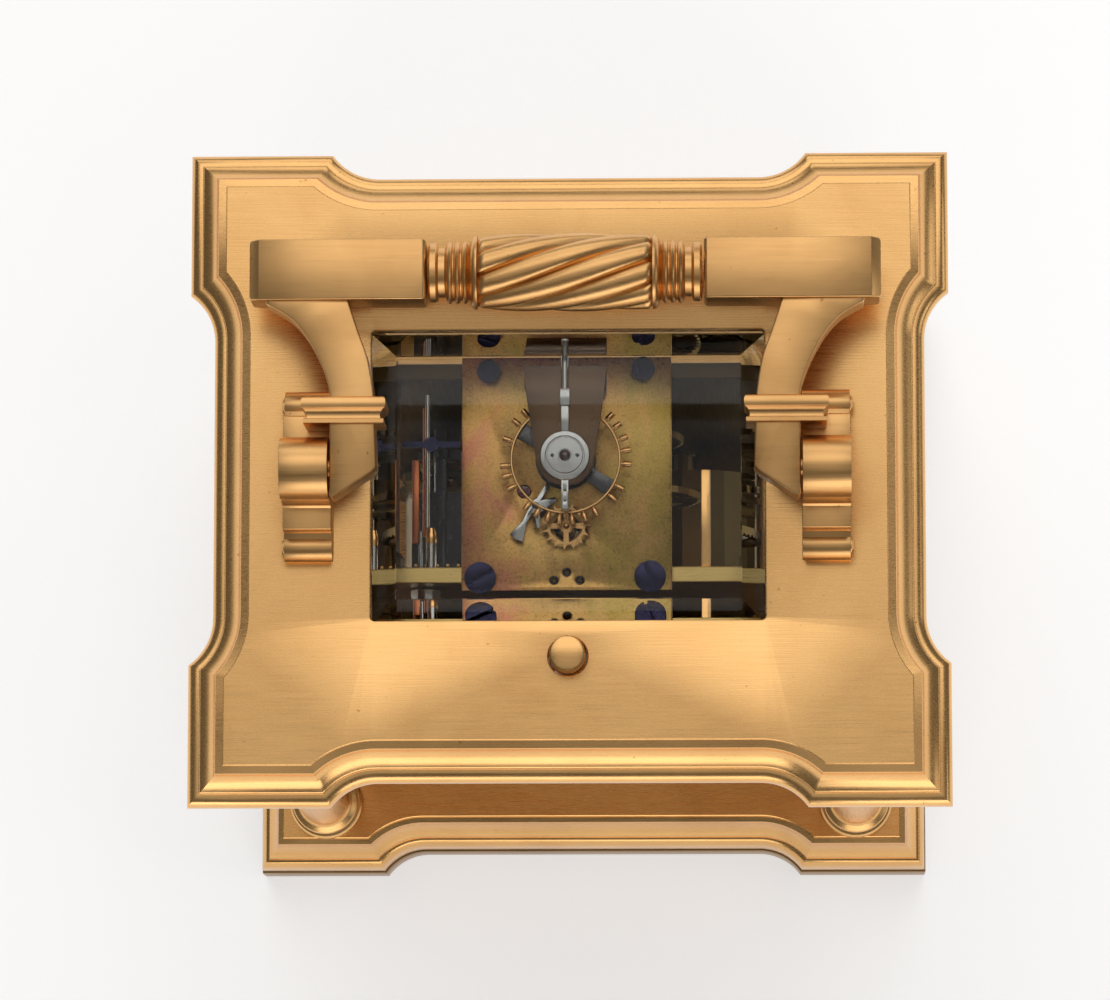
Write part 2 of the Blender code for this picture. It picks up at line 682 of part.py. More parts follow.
def pinion(count, module, centre, phase, low, high):
    return prism(teeth(count, module, centre, phase), low, high, "Y")


def turned(name, centre, parts, slot="movement_brass"):
    make_object(name, combine(parts[0], joins=parts[1:]), slot, (centre[0], 0, centre[1]))


def build_plates(at):
    half = PLATE_W / 2
    low = BASE_TOP_Z + GAP
    pivoted = ("barrel", "inter", "third", "contrate", "strike_barrel", "pin_wheel", "fly")
    pivots = [at[key] for key in pivoted]
    outline = [(-half, low), (14 - half, low), (16 - half, low + 6.0), (half - 16, low + 6.0),
               (half - 14, low), (half, low), (half, PLATE_TOP_Z), (-half, PLATE_TOP_Z)]
    holes = [circle(PIVOT_PIN_R + RUN, 10, spot) for spot in pivots]
    centre = [circle(ARBOR_R + RUN, 12, at["centre"])]
    front = prism(outline, FRONT_PLATE_Y, FRONT_PLATE_Y + PLATE_T, "Y", holes + centre)
    make_object("front_plate", front, "movement_brass")
    squares = [circle(PIVOT_PIN_R + RUN, 10, spot) for spot in pivots if spot not in winding_spots(at)]
    squares += [circle(WINDING_R + RUN, 12, spot) for spot in winding_spots(at)]
    hammer = [circle(PIVOT_PIN_R + RUN, 10, hammer_pivot())]
    holes = squares + hammer + [circle(PIVOT_PIN_R + RUN, 10, at["centre"])]
    back = prism(outline, BACK_PLATE_Y, BACK_PLATE_Y + PLATE_T, "Y", holes)
    make_object("back_plate", back, "movement_brass")
    y0, y1 = FRONT_PLATE_Y + PLATE_T + GAP, BACK_PLATE_Y - GAP
    for side, across in (("left", -1), ("right", 1)):
        for level, z in (("lower", BASE_TOP_Z + 9.0), ("upper", PLATE_TOP_Z - 4.7)):
            foot = PILLAR_R + 0.8
            pillar = [(foot, y0), (foot, y0 + 1.5), (PILLAR_R, y0 + 2.5), (PILLAR_R, y1 - 2.5),
                      (foot, y1 - 1.5), (foot, y1)]
            shape = lathe(pillar, (across * PILLAR_X, z), "Y", 10)
            make_object(f"pillar_{level}_{side}", shape, "movement_brass")


def winding_spots(at):
    return at["barrel"], at["strike_barrel"]


def barrel_parts(centre, teeth_phase, drum, gear):
    """Spring drum with its great wheel, arbor and winding end through the back plate."""
    inner_low, inner_high = min(drum[0], gear[0]) - GAP, BACK_PLATE_Y - GAP
    drum_r = GREAT * M_GREAT / 2 - 1.5
    arbor_shape = [(PIVOT_PIN_R, FRONT_PLATE_Y), (PIVOT_PIN_R, inner_low), (1.6, inner_low),
                   (1.6, inner_high), (WINDING_R, inner_high), (WINDING_R, BACK_PLATE_Y + PLATE_T + 3.5)]
    great = prism(teeth(GREAT, M_GREAT, centre, teeth_phase), *gear, "Y")
    return [great, rod(drum_r, *drum, centre, "Y", 24), lathe(arbor_shape, centre, "Y", 12)]


def build_train(at):
    y = FRONT_PLATE_Y + PLATE_T
    inter_layer = (y + 0.7, y + 1.7)
    great_layer = (y + 2.5, y + 3.7)
    third_layer = (y + 14.0, y + 15.0)
    centre_layer = (y + 25.5, y + 26.5)

    tooth, gap = mesh_phases(at["barrel"], at["inter"], INTER_PINION)
    turned("going_barrel", at["barrel"],
           barrel_parts(at["barrel"], tooth, (y + 3.6, y + 23.9), great_layer))
    inter_pinion = pinion(INTER_PINION, M_GREAT, at["inter"], gap, *overlapping(great_layer))
    tooth, gap = mesh_phases(at["inter"], at["centre"], CENTRE_PINION)
    inter_wheel = wheel(INTER, M_INTER, at["inter"], tooth, *inter_layer)
    turned("intermediate_wheel", at["inter"], [inter_wheel, inter_pinion, arbor(at["inter"])])

    centre_pinion = pinion(CENTRE_PINION, M_INTER, at["centre"], gap, *overlapping(inter_layer))
    tooth, gap = mesh_phases(at["centre"], at["third"], THIRD_PINION)
    centre_wheel = wheel(CENTRE, M_CENTRE, at["centre"], tooth, *centre_layer)
    nose = MASK_Y + MASK_T
    shaft = [(0.8, nose), (0.8, FRONT_PLATE_Y - 1.2), (ARBOR_R, FRONT_PLATE_Y - 1.2),
             (ARBOR_R, BACK_PLATE_Y - GAP), (PIVOT_PIN_R, BACK_PLATE_Y - GAP),
             (PIVOT_PIN_R, BACK_PLATE_Y + PLATE_T)]
    turned("centre_wheel", at["centre"],
           [centre_wheel, centre_pinion, lathe(shaft, at["centre"], "Y", 12)])

    third_pinion = pinion(THIRD_PINION, M_CENTRE, at["third"], gap, *overlapping(centre_layer))
    tooth, gap = mesh_phases(at["third"], at["contrate"], CONTRATE_PINION)
    third_wheel = wheel(THIRD, M_THIRD, at["third"], tooth, *third_layer)
    turned("third_wheel", at["third"], [third_wheel, third_pinion, arbor(at["third"])])

    contrate_pinion = pinion(CONTRATE_PINION, M_THIRD, at["contrate"], gap, *overlapping(third_layer))
    turned("contrate_wheel", at["contrate"],
           [crown_wheel(at["contrate"]), contrate_pinion, arbor(at["contrate"])])


def pinion_module():
    return 2 * CONTRATE_R / CONTRATE


def crown_wheel(centre):
    """Contrate wheel: a disc with pointed teeth that stand towards the escape pinion."""
    mod = pinion_module()
    tip = ESCAPE_Y + (ESCAPE_PINION * mod / 2) - TOOTH_UP * mod
    root = tip + (TOOTH_UP + TOOTH_DOWN) * mod
    count = 2 * CONTRATE
    inner, outer = CONTRATE_R - 1.0, CONTRATE_R
    back = root + 1.0
    rings = [[], [], [], []]
    for i in range(count):
        angle = math.pi / 2 + math.pi * i / CONTRATE
        u, v = math.cos(angle), math.sin(angle)
        y = tip if i % 2 == 0 else root
        spots = ((inner, back), (outer, back), (outer, y), (inner, y))
        for ring, (radius, t) in zip(rings, spots):
            ring.append((centre[0] + radius * u, t, centre[1] + radius * v))
    disc = prism(circle(inner + 0.3, 24, centre), back - 0.7, back, "Y", spokes(centre, 2.4, inner - 1.2))
    return combine(loft(rings, closed=True), joins=[disc])


def build_strike(at):
    y = FRONT_PLATE_Y + PLATE_T
    great_layer = (y + 21.1, y + 22.3)
    pin_layer = (y + 23.3, y + 24.3)
    tooth, gap = mesh_phases(at["strike_barrel"], at["pin_wheel"], INTER_PINION)
    turned("strike_barrel", at["strike_barrel"],
           barrel_parts(at["strike_barrel"], tooth, (y + 2.5, y + 21.2), great_layer))
    low_pinion = pinion(INTER_PINION, M_GREAT, at["pin_wheel"], gap, *overlapping(great_layer))
    tooth, gap = mesh_phases(at["pin_wheel"], at["fly"], FLY_PINION)
    big = wheel(PIN_WHEEL, M_INTER, at["pin_wheel"], tooth, *pin_layer)
    turned("strike_pin_wheel", at["pin_wheel"], [big, low_pinion, arbor(at["pin_wheel"])])
    fly_pinion = pinion(FLY_PINION, M_INTER, at["fly"], gap, *overlapping(pin_layer))
    x, z = at["fly"]
    vane = box(x - 4.5, x + 4.5, y + 4.0, y + 18.0, z - 0.35, z + 0.35)
    turned("strike_fly", at["fly"], [arbor(at["fly"]), fly_pinion, vane], "steel")


def hammer_pivot():
    return -24.0, CENTRE_Z - 22.0


def gong_centre():
    return 0.0, FIELD_Z - GONG_DROP


def build_gong():
    cx, cz = gong_centre()
    y = BACK_PLATE_Y + PLATE_T + 5.2
    steps = int(20 * GONG_TURNS)
    half = GONG_WIRE / 2
    rings = []
    for i in range(steps + 1):
        angle = 2 * math.pi * GONG_TURNS * i / steps + math.pi / 2
        radius = GONG_R0 + (GONG_R1 - GONG_R0) * i / steps
        ring = []
        for dr, dy in ((-half, -half), (half, -half), (half, half), (-half, half)):
            ring.append((cx + (radius + dr) * math.cos(angle), y + dy, cz + (radius + dr) * math.sin(angle)))
        rings.append(ring)
    make_object("gong", loft(rings), "blued_steel")
    foot_z = cz - GONG_R1 + half + 0.4
    stand = [box(-4.0, 4.0, y - 3.0, y + 3.0, BASE_TOP_Z + GAP, BASE_TOP_Z + 3.0),
             box(-2.0, 2.0, y - 1.6, y + 1.6, BASE_TOP_Z + 2.0, foot_z - 2 * GAP - GONG_WIRE)]
    make_object("gong_stand", combine(stand[0], joins=stand[1:]), "movement_brass")
    hx, hz = hammer_pivot()
    y0 = BACK_PLATE_Y + PLATE_T + GAP
    tip_x, tip_z = cx - GONG_R1 - 6.4, cz + 1.0
    pin = [(PIVOT_PIN_R, BACK_PLATE_Y + 0.4), (PIVOT_PIN_R, y0), (1.6, y0), (1.6, y0 + 2.6)]
    arm = prism([(hx - 0.9, hz), (hx + 0.9, hz), (tip_x + 0.7, tip_z), (tip_x - 0.7, tip_z)],
                y0 + 1.2, y0 + 2.4, "Y")
    head = lathe([(2.4, tip_x - 1.2), (2.4, tip_x + 4.0)], (y - 0.8, tip_z), "X", 12)
    hammer = combine(arm, joins=[lathe(pin, (hx, hz), "Y", 12), head])
    make_object("gong_hammer", hammer, "steel", (hx, 0, hz))


def build_dial(at):
    half = BOX_W / 2 - POST - 2 * GAP
    y0, y1 = MASK_Y, MASK_Y + MASK_T
    centre = at["centre"]
    low, high = BASE_TOP_Z + 1.0, COVER_Z - 1.0
    mask = prism(rectangle(-half, half, low, high), y0, y1, "Y", [circle(DIAL_HOLE_R, 16, centre)])
    studs = []
    for x in (-29.5, 29.5):
        for z in (low + 7.0, high - 24.0):
            studs.append(rod(STUD_R, y1 - 0.4, FRONT_PLATE_Y - GAP, (x, z), "Y", 8))
    make_object("dial_mask", combine(mask, joins=studs), "gilt_brass")
    front = y0 - GAP
    dial = prism(circle(DIAL_R, 40, centre), front - DIAL_T, front, "Y", [circle(DIAL_HOLE_R, 16, centre)])
    make_object("dial", dial, "enamel")


def hand_outline(centre, length, angle, width):
    """Slim hand with a boss and a tail, pointing along an angle from the top, clockwise."""
    across, along = (math.cos(angle), -math.sin(angle)), (math.sin(angle), math.cos(angle))
    shape = [(-width, -5.0), (width, -5.0), (0.5 * width, -2.4), (2.6, -1.3), (2.6, 1.3),
             (0.45 * width, 2.6), (width, 0.72 * length), (0.0, length), (-width, 0.72 * length),
             (-0.45 * width, 2.6), (-2.6, 1.3), (-2.6, -1.3), (-0.5 * width, -2.4)]
    return [(centre[0] + u * across[0] + v * along[0], centre[1] + u * across[1] + v * along[1])
            for u, v in shape]


def build_motion_work(at):
    centre, minute = at["centre"], at["minute"]
    y = FRONT_PLATE_Y
    low_layer = (y - 2.6, y - 1.5)
    hour_layer = (y - 4.4, y - 3.4)
    dial_front = MASK_Y - GAP - DIAL_T
    tooth, gap = mesh_phases(minute, centre, CANNON)
    pipe_r = 1.35
    cannon = combine(pinion(CANNON, M_CANNON, centre, gap, *low_layer),
                     joins=[rod(pipe_r, dial_front - 2.0, low_layer[0] + 0.2, centre, "Y")],
                     cuts=[rod(0.8 + RUN, MASK_Y + MASK_T - GAP, y, centre, "Y")])
    make_object("cannon_pinion", cannon, "steel", (centre[0], 0, centre[1]))
    minute_wheel = wheel(MINUTE, M_CANNON, minute, tooth, *low_layer, 2.9)
    tooth, gap = mesh_phases(centre, minute, MINUTE_PINION)
    small = pinion(MINUTE_PINION, M_HOUR, minute, gap, hour_layer[0] - 0.2, low_layer[0] + 0.1)
    bore = [rod(0.8 + RUN, hour_layer[0] - 1, y, minute, "Y")]
    make_object("minute_wheel", combine(minute_wheel, joins=[small], cuts=bore), "movement_brass",
                (minute[0], 0, minute[1]))
    shoulder = low_layer[1] + GAP
    post = lathe([(0.8, hour_layer[0] - 0.6), (0.8, shoulder), (1.8, shoulder), (1.8, y - GAP)],
                 minute, "Y", 12)
    make_object("minute_wheel_stud", post, "steel")
    hour_wheel = wheel(HOUR, M_HOUR, centre, tooth, *hour_layer, 3.4)
    pipe = rod(pipe_r + 0.9, dial_front - 0.9, hour_layer[1] - 0.1, centre, "Y", 14)
    bore = [rod(pipe_r + RUN, dial_front - 2, y, centre, "Y")]
    make_object("hour_wheel", combine(hour_wheel, joins=[pipe], cuts=bore), "movement_brass",
                (centre[0], 0, centre[1]))
    hour_angle, minute_angle = math.radians(305), math.radians(60)
    for name, length, angle, width, front, bore_r in (
            ("hour_hand", 15.5, hour_angle, 1.3, dial_front - 0.9, pipe_r + RUN),
            ("minute_hand", 23.5, minute_angle, 0.9, dial_front - 2.0, 0.6)):
        ring = [circle(bore_r, 10, centre)]
        outline = hand_outline(centre, length, angle, width)
        make_object(name, prism(outline, front - GAP - 0.5, front - GAP, "Y", ring), "blued_steel",
                    (centre[0], 0, centre[1]))


# ---------------------------------------------------------------- escapement platform

def build_platform():
    x0, x1 = PLATFORM_X - PLATFORM_W / 2, PLATFORM_X + PLATFORM_W / 2
    y0, y1 = PLATFORM_Y - PLATFORM_D / 2, PLATFORM_Y + PLATFORM_D / 2
    top = PLATFORM_Z + PLATFORM_T
    passage = [circle(1.9, 12, (PLATFORM_X, ESCAPE_Y))]
    plate = prism(rectangle(x0, x1, y0, y1), PLATFORM_Z, top, "Z", passage)
    make_object("platform_plate", plate, "movement_brass")
    return top


def escape_outline(centre):
    points = []
    for i in range(ESCAPE_TEETH):
        angle = 2 * math.pi * i / ESCAPE_TEETH
        for turn, depth in ((0.0, 0.0), (0.07, 0.05), (0.16, 0.9), (0.3, 0.9)):
            radius = ESCAPE_R - depth
            points.append((centre[0] + radius * math.cos(angle + turn),
                           centre[1] + radius * math.sin(angle + turn)))
    return points


def build_escapement(at, top):
    mod = pinion_module()
    centre = (PLATFORM_X, ESCAPE_Y)
    crown_top = at["contrate"][1] + CONTRATE_R
    pinion_low = crown_top - 1.9
    star = prism(escape_outline(centre), ESCAPE_Z, ESCAPE_Z + 0.6, "Z")
    gap_phase = math.pi / 2 + math.pi / ESCAPE_PINION
    leaves = prism(teeth(ESCAPE_PINION, mod, centre, gap_phase), pinion_low, crown_top + 0.6, "Z")
    staff = rod(0.45, pinion_low + 0.2, ESCAPE_Z + 1.4, centre, "Z", 10)
    make_object("escape_wheel", combine(star, joins=[leaves, staff]), "movement_brass", (*centre, 0))

    pivot = (PLATFORM_X - 4.6, ESCAPE_Y + 3.1)
    body = [(-3.9, -4.2), (-2.6, -5.0), (-0.5, -1.0), (0.05, -3.3), (0.65, -3.1), (0.9, -0.5), (3.2, 0.75),
            (3.0, 1.35), (1.0, 0.95), (3.7, 5.3), (3.1, 5.7), (0.2, 1.1), (-0.8, 0.6)]
    outline = [(pivot[0] + u, pivot[1] + v) for u, v in body]
    lever = combine(prism(outline, ESCAPE_Z, ESCAPE_Z + 0.6),
                    joins=[rod(0.5, top + GAP, ESCAPE_Z + 1.2, pivot, "Z", 10)])
    make_object("pallet_lever", lever, "steel", (*pivot, 0))

    centre = (PLATFORM_X, BALANCE_Y)
    rim = tube(BALANCE_R - 1.1, BALANCE_R, BALANCE_Z, BALANCE_Z + 1.2, centre, "Z", 32)
    bar = box(centre[0] - BALANCE_R + 0.5, centre[0] + BALANCE_R - 0.5, centre[1] - 0.7, centre[1] + 0.7,
              BALANCE_Z + 0.2, BALANCE_Z + 1.0)
    staff = rod(0.6, top + GAP, BALANCE_Z + 2.2, centre, "Z", 10)
    make_object("balance_wheel", combine(rim, joins=[bar, staff]), "balance_gold", (*centre, 0))
    build_hairspring(centre)
    build_cock(centre, top)


def build_hairspring(centre):
    """Flat spiral spring over the balance arm."""
    turns, steps, wire = 2.5, 50, 0.12
    rings = []
    for i in range(steps + 1):
        angle = 2 * math.pi * turns * i / steps
        radius = 1.0 + 2.6 * i / steps
        ring = []
        for dr, dz in ((-wire, 0.0), (wire, 0.0), (wire, 0.4), (-wire, 0.4)):
            reach = radius + dr
            ring.append((centre[0] + reach * math.cos(angle), centre[1] + reach * math.sin(angle),
                         BALANCE_Z + 1.3 + dz))
        rings.append(ring)
    make_object("balance_spring", loft(rings), "blued_steel", (*centre, 0))


def build_cock(centre, top):
    """Bridge over the balance from the back of the platform, with the regulator on it."""
    x, y = centre
    low = BALANCE_Z + 2.2 + GAP
    high = low + 1.3
    foot_y = y + BALANCE_R + 0.7
    half = [(COCK_HALF, foot_y + 4.4), (COCK_HALF - 0.3, foot_y), (4.0, y + 3.0), (2.6, y), (1.2, y - 1.8)]
    arch = [(x - u, v) for u, v in half] + [(x + u, v) for u, v in reversed(half)]
    foot = box(x - COCK_HALF, x + COCK_HALF, foot_y, foot_y + 4.4, top + GAP, low + 0.5)
    make_object("balance_cock", combine(prism(arch, low, high), joins=[foot]), "movement_brass")
    rise = high + GAP
    disc = circle(REGULATOR_R, 20, centre)
    arm = [(x - 1.1, y + 2.0), (x + 1.1, y + 2.0), (x + 0.6, y + 9.0), (x + 0.6, y + REGULATOR_ARM),
           (x - 0.6, y + REGULATOR_ARM), (x - 0.6, y + 9.0)]
    nose = [(x - 0.9, y - 6.6), (x + 0.9, y - 6.6), (x + 0.6, y - 5.0), (x + 0.9, y - 2.0),
            (x - 0.9, y - 2.0), (x - 0.6, y - 5.0)]
    index = combine(prism(disc, rise, rise + 0.7),
                    joins=[prism(arm, rise, rise + 0.6), prism(nose, rise, rise + 0.6)])
    make_object("regulator_index", index, "steel", (x, y, 0))


def main():
    clear_scene()
    build_base()
    build_cover()
    build_columns()
    build_glazed_box()
    build_door()
    build_brackets()
    build_handle()
    build_repeat()
    at = train_centres()
    build_plates(at)
    build_train(at)
    build_strike(at)
    build_gong()
    build_dial(at)
    build_motion_work(at)
    build_escapement(at, build_platform())


main()
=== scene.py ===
import math

import bmesh
import bpy
from bpy.props import FloatProperty, FloatVectorProperty, IntProperty, PointerProperty
from mathutils import Matrix, Vector


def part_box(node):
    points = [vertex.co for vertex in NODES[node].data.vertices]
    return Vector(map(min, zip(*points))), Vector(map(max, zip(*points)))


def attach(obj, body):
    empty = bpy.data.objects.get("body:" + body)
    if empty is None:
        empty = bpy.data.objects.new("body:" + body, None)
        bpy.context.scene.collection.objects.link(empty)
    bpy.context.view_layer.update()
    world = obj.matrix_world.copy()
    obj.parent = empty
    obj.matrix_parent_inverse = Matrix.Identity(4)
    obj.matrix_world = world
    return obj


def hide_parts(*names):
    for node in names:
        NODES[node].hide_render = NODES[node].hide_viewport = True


bl_info = {
    "name": "Carriage Clock",
    "version": (1, 0, 0),
    "blender": (4, 5, 0),
    "location": "View3D > Sidebar > Clock",
    "description": "Finishes a glazed brass carriage clock around its construction model",
    "category": "Object",
}

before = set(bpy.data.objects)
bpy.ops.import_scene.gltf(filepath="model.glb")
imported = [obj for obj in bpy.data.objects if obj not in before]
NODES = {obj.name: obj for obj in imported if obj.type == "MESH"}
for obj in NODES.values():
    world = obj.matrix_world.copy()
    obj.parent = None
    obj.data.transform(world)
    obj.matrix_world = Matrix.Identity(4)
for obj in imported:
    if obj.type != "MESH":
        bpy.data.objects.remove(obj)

# Everything is modelled in millimetres and scaled to metres when a piece is published.
MM = 0.001
TURN = 2 * math.pi


def span(node, axis):
    """Lowest and highest place of a construction node along an axis, in millimetres."""
    low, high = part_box(node)
    return low[axis] / MM, high[axis] / MM


COVER_X, COVER_Y, COVER_Z = span("top_cover", 0), span("top_cover", 1), span("top_cover", 2)
BASE_Z = span("base_moulding", 2)
SLAB_Z = span("base_slab", 2)
FIELD_Z = COVER_Z[1]
HALF_W, HALF_D = COVER_X[1], COVER_Y[1]
SCREW_Y, SCREW_Z = span("handle_screw_right", 1), span("handle_screw_right", 2)
PIVOT_Y, PIVOT_Z = sum(SCREW_Y) / 2, sum(SCREW_Z) / 2
BAR_Y = sum(span("handle_grip", 1)) / 2


# ---------------------------------------------------------------- sizes and colours a user may change

class ClockCaseSizes(bpy.types.PropertyGroup):
    """Sizes of the case's plan and mouldings"""
    ear: FloatProperty(name="Ear length", description="Length of each square ear", default=21.0 * MM,
                       unit="LENGTH")
    recess: FloatProperty(name="Recess", description="How far the sides stand back between the ears",
                          default=3.6 * MM, unit="LENGTH")
    curve: FloatProperty(name="Ear curve", description="Radius from the ear to the side",
                         default=8.6 * MM, unit="LENGTH")
    curve_steps: IntProperty(name="Curve steps", description="Points on each ear curve", default=14, min=4)
    window_width: FloatProperty(name="Window width", description="Opening over the escapement",
                                default=57.5 * MM, unit="LENGTH")
    window_depth: FloatProperty(name="Window depth", description="Opening over the escapement",
                                default=42.8 * MM, unit="LENGTH")
    window_corner: FloatProperty(name="Window corner", description="Radius of the opening's corners",
                                 default=0.5 * MM, unit="LENGTH")


class ClockHandleSizes(bpy.types.PropertyGroup):
    """Sizes of the folding handle"""
    strands: IntProperty(name="Strands", description="Twisted ridges round the grip", default=8, min=4)
    twist: FloatProperty(name="Twist", description="Turn of the strands along the grip",
                         default=math.radians(-119), subtype="ANGLE")
    groove: FloatProperty(name="Groove", description="Depth between two strands", default=1.15 * MM,
                          unit="LENGTH")


class ClockMovementSizes(bpy.types.PropertyGroup):
    """Sizes of what shows of the movement"""
    timing_screws: IntProperty(name="Timing screws", description="Screws round the balance's rim",
                               default=20, min=4)
    screw_head: FloatProperty(name="Screw head", description="Radius of a platform screw's head",
                              default=2.35 * MM, unit="LENGTH")


class ClockFinishes(bpy.types.PropertyGroup):
    """Colours of the finishes"""
    gilt: FloatVectorProperty(name="Gilt brass", description="Cover, columns and box",
                              default=(0.85, 0.485, 0.185), subtype="COLOR", size=3)
    base: FloatVectorProperty(name="Base brass", description="Redder gilding of the base",
                              default=(0.80, 0.46, 0.17), subtype="COLOR", size=3)
    handle: FloatVectorProperty(name="Handle brass", description="Satin gilding of the handle",
                                default=(0.78, 0.44, 0.168), subtype="COLOR", size=3)
    # Aged brass; the darker tints made from it for the plates, pillars and trains are painted shade of the
    # case's inside.
    movement: FloatVectorProperty(name="Movement brass", description="Aged brass inside the clock",
                                  default=(0.36, 0.235, 0.088), subtype="COLOR", size=3)
    blue: FloatVectorProperty(name="Blued steel", description="Heat-blued screws, hands and springs",
                              default=(0.026, 0.024, 0.05), subtype="COLOR", size=3)
    steel: FloatVectorProperty(name="Steel", description="Polished steel", default=(0.42, 0.41, 0.39),
                               subtype="COLOR", size=3)


SETTINGS = (("clock_case", ClockCaseSizes), ("clock_handle", ClockHandleSizes),
            ("clock_movement", ClockMovementSizes), ("clock_finish", ClockFinishes))


def case():
    return bpy.context.scene.clock_case


def handle():
    return bpy.context.scene.clock_handle


def movement():
    return bpy.context.scene.clock_movement


def finish():
    return bpy.context.scene.clock_finish


# ---------------------------------------------------------------- finishes

class Finish:
    """A principled material under construction, with short ways to add its nodes."""

    def __init__(self, name, metallic, roughness):
        self.material = bpy.data.materials.new(name)
        self.material.use_nodes = True
        self.tree = self.material.node_tree
        self.shader = self.tree.nodes["Principled BSDF"]
        self.shader.inputs["Metallic"].default_value = metallic
        self.shader.inputs["Roughness"].default_value = roughness
        self.coordinates = self.tree.nodes.new("ShaderNodeTexCoord").outputs["Object"]

    def link(self, source, target):
        self.tree.links.new(source, target)

    def node(self, kind, **values):
        """A new node with its unlinked inputs set by name."""
        made = self.tree.nodes.new(f"ShaderNode{kind}")
        for name, value in values.items():
            made.inputs[name.replace("_", " ").title()].default_value = value
        return made

    def noise(self, scale, detail=3.0, roughness=0.55, distortion=0.0):
        """Noise whose scale is given per metre along X, Y and Z."""
        mapping = self.node("Mapping", scale=scale)
        self.link(self.coordinates, mapping.inputs["Vector"])
        texture = self.node("TexNoise", scale=1.0, detail=detail, roughness=roughness, distortion=distortion)
        self.link(mapping.outputs["Vector"], texture.inputs["Vector"])
        return texture.outputs["Fac"]

    def ramp(self, source, stops):
        """Colours along a value; each stop is (place, colour)."""
        node = self.node("ValToRGB")
        elements = node.color_ramp.elements
        while len(elements) < len(stops):
            elements.new(0.5)
        for element, (place, colour) in zip(elements, stops):
            element.position = place
            element.color = (*colour, 1.0)
        self.link(source, node.inputs["Fac"])
        return node.outputs["Color"]

    def fit(self, source, low, high, start=0.3, end=0.7):
        """Bring a noise's middle range to low..high."""
        node = self.node("MapRange", from_min=start, from_max=end, to_min=low, to_max=high)
        self.link(source, node.inputs["Value"])
        return node.outputs["Result"]

    def mix(self, first, second, factor, blend="MIX"):
        node = self.node("Mix")
        node.data_type = "RGBA"
        node.blend_type = blend
        for socket, value in (("A", first), ("B", second)):
            target = next(s for s in node.inputs if s.name == socket and s.type == "RGBA")
            if isinstance(value, tuple):
                target.default_value = (*value, 1.0)
            else:
                self.link(value, target)
        if isinstance(factor, float):
            node.inputs["Factor"].default_value = factor
        else:
            self.link(factor, node.inputs["Factor"])
        return next(s for s in node.outputs if s.type == "RGBA")

    def bump(self, source, depth, strength=1.0, under=None):
        """Relief in metres from a value, laid over an earlier relief."""
        node = self.node("Bump", distance=depth, strength=strength)
        self.link(source, node.inputs["Height"])
        if under is not None:
            self.link(under, node.inputs["Normal"])
        return node.outputs["Normal"]

    def set(self, **sockets):
        for name, value in sockets.items():
            target = self.shader.inputs[name.replace("_", " ").title()]
            if isinstance(value, bpy.types.NodeSocket):
                self.link(value, target)
            else:
                target.default_value = value
        return self.material


def once(make):
    """Make a finish once and give the same one each time its name comes again."""
    done = {}

    def ready(name, *rest):
        if name not in done:
            done[name] = make(name, *rest)
        return done[name]
    return ready


def tint(colour, factor, warm=0.0):
    """A darker or lighter version of a colour; warm moves it towards red."""
    return (min(colour[0] * factor * (1 + warm), 1.0), min(colour[1] * factor, 1.0),
            min(colour[2] * factor * (1 - warm), 1.0))


@once
def brushed(name, colour, roughness, along="X", grain=1.0, patches=1.0):
    """Gilt metal with fine straight brushing, soft tone patches and a few dark nicks."""
    new = Finish(name, 1.0, roughness)
    fine, coarse = 5200.0, 90.0
    scale = {"X": (coarse, fine, fine), "Y": (fine, coarse, fine), "Z": (fine, fine, coarse)}[along]
    lines = new.noise(scale, 4.0, 0.7)
    broad = new.noise((55.0, 55.0, 55.0), 3.0, 0.6, 0.6)
    nicks = new.noise((900.0, 900.0, 900.0), 2.0, 0.5)
    tone = new.ramp(broad, ((0.30, tint(colour, 1 - 0.13 * patches, 0.03)), (0.52, tuple(colour)),
                            (0.72, tint(colour, 1 + 0.07 * patches, -0.02))))
    shade = new.ramp(lines, ((0.28, tint((1, 1, 1), 1 - 0.22 * grain)), (0.62, (1.0, 1.0, 1.0))))
    tone = new.mix(tone, shade, 0.75, "MULTIPLY")
    spots = new.ramp(nicks, ((0.22, (0.55, 0.48, 0.42)), (0.27, (1.0, 1.0, 1.0))))
    tone = new.mix(tone, spots, 0.8, "MULTIPLY")
    relief = new.bump(lines, 0.000012 * grain, 0.5)
    return new.set(base_color=tone, normal=relief,
                   roughness=new.fit(lines, roughness - 0.06, roughness + 0.09))


@once
def polished(name, colour, roughness, wear=1.0):
    """Bright metal with a faint tone change, hair scratches and small pits."""
    new = Finish(name, 1.0, roughness)
    broad = new.noise((130.0, 130.0, 130.0), 3.0, 0.55, 0.4)
    fine = new.noise((2600.0, 2600.0, 2600.0), 3.0, 0.6)
    tone = new.ramp(broad, ((0.3, tint(colour, 1 - 0.12 * wear, 0.03)), (0.65, tuple(colour))))
    return new.set(base_color=tone, normal=new.bump(fine, 0.000004 * wear, 0.4),
                   roughness=new.fit(broad, roughness * 0.8, roughness * 1.3))


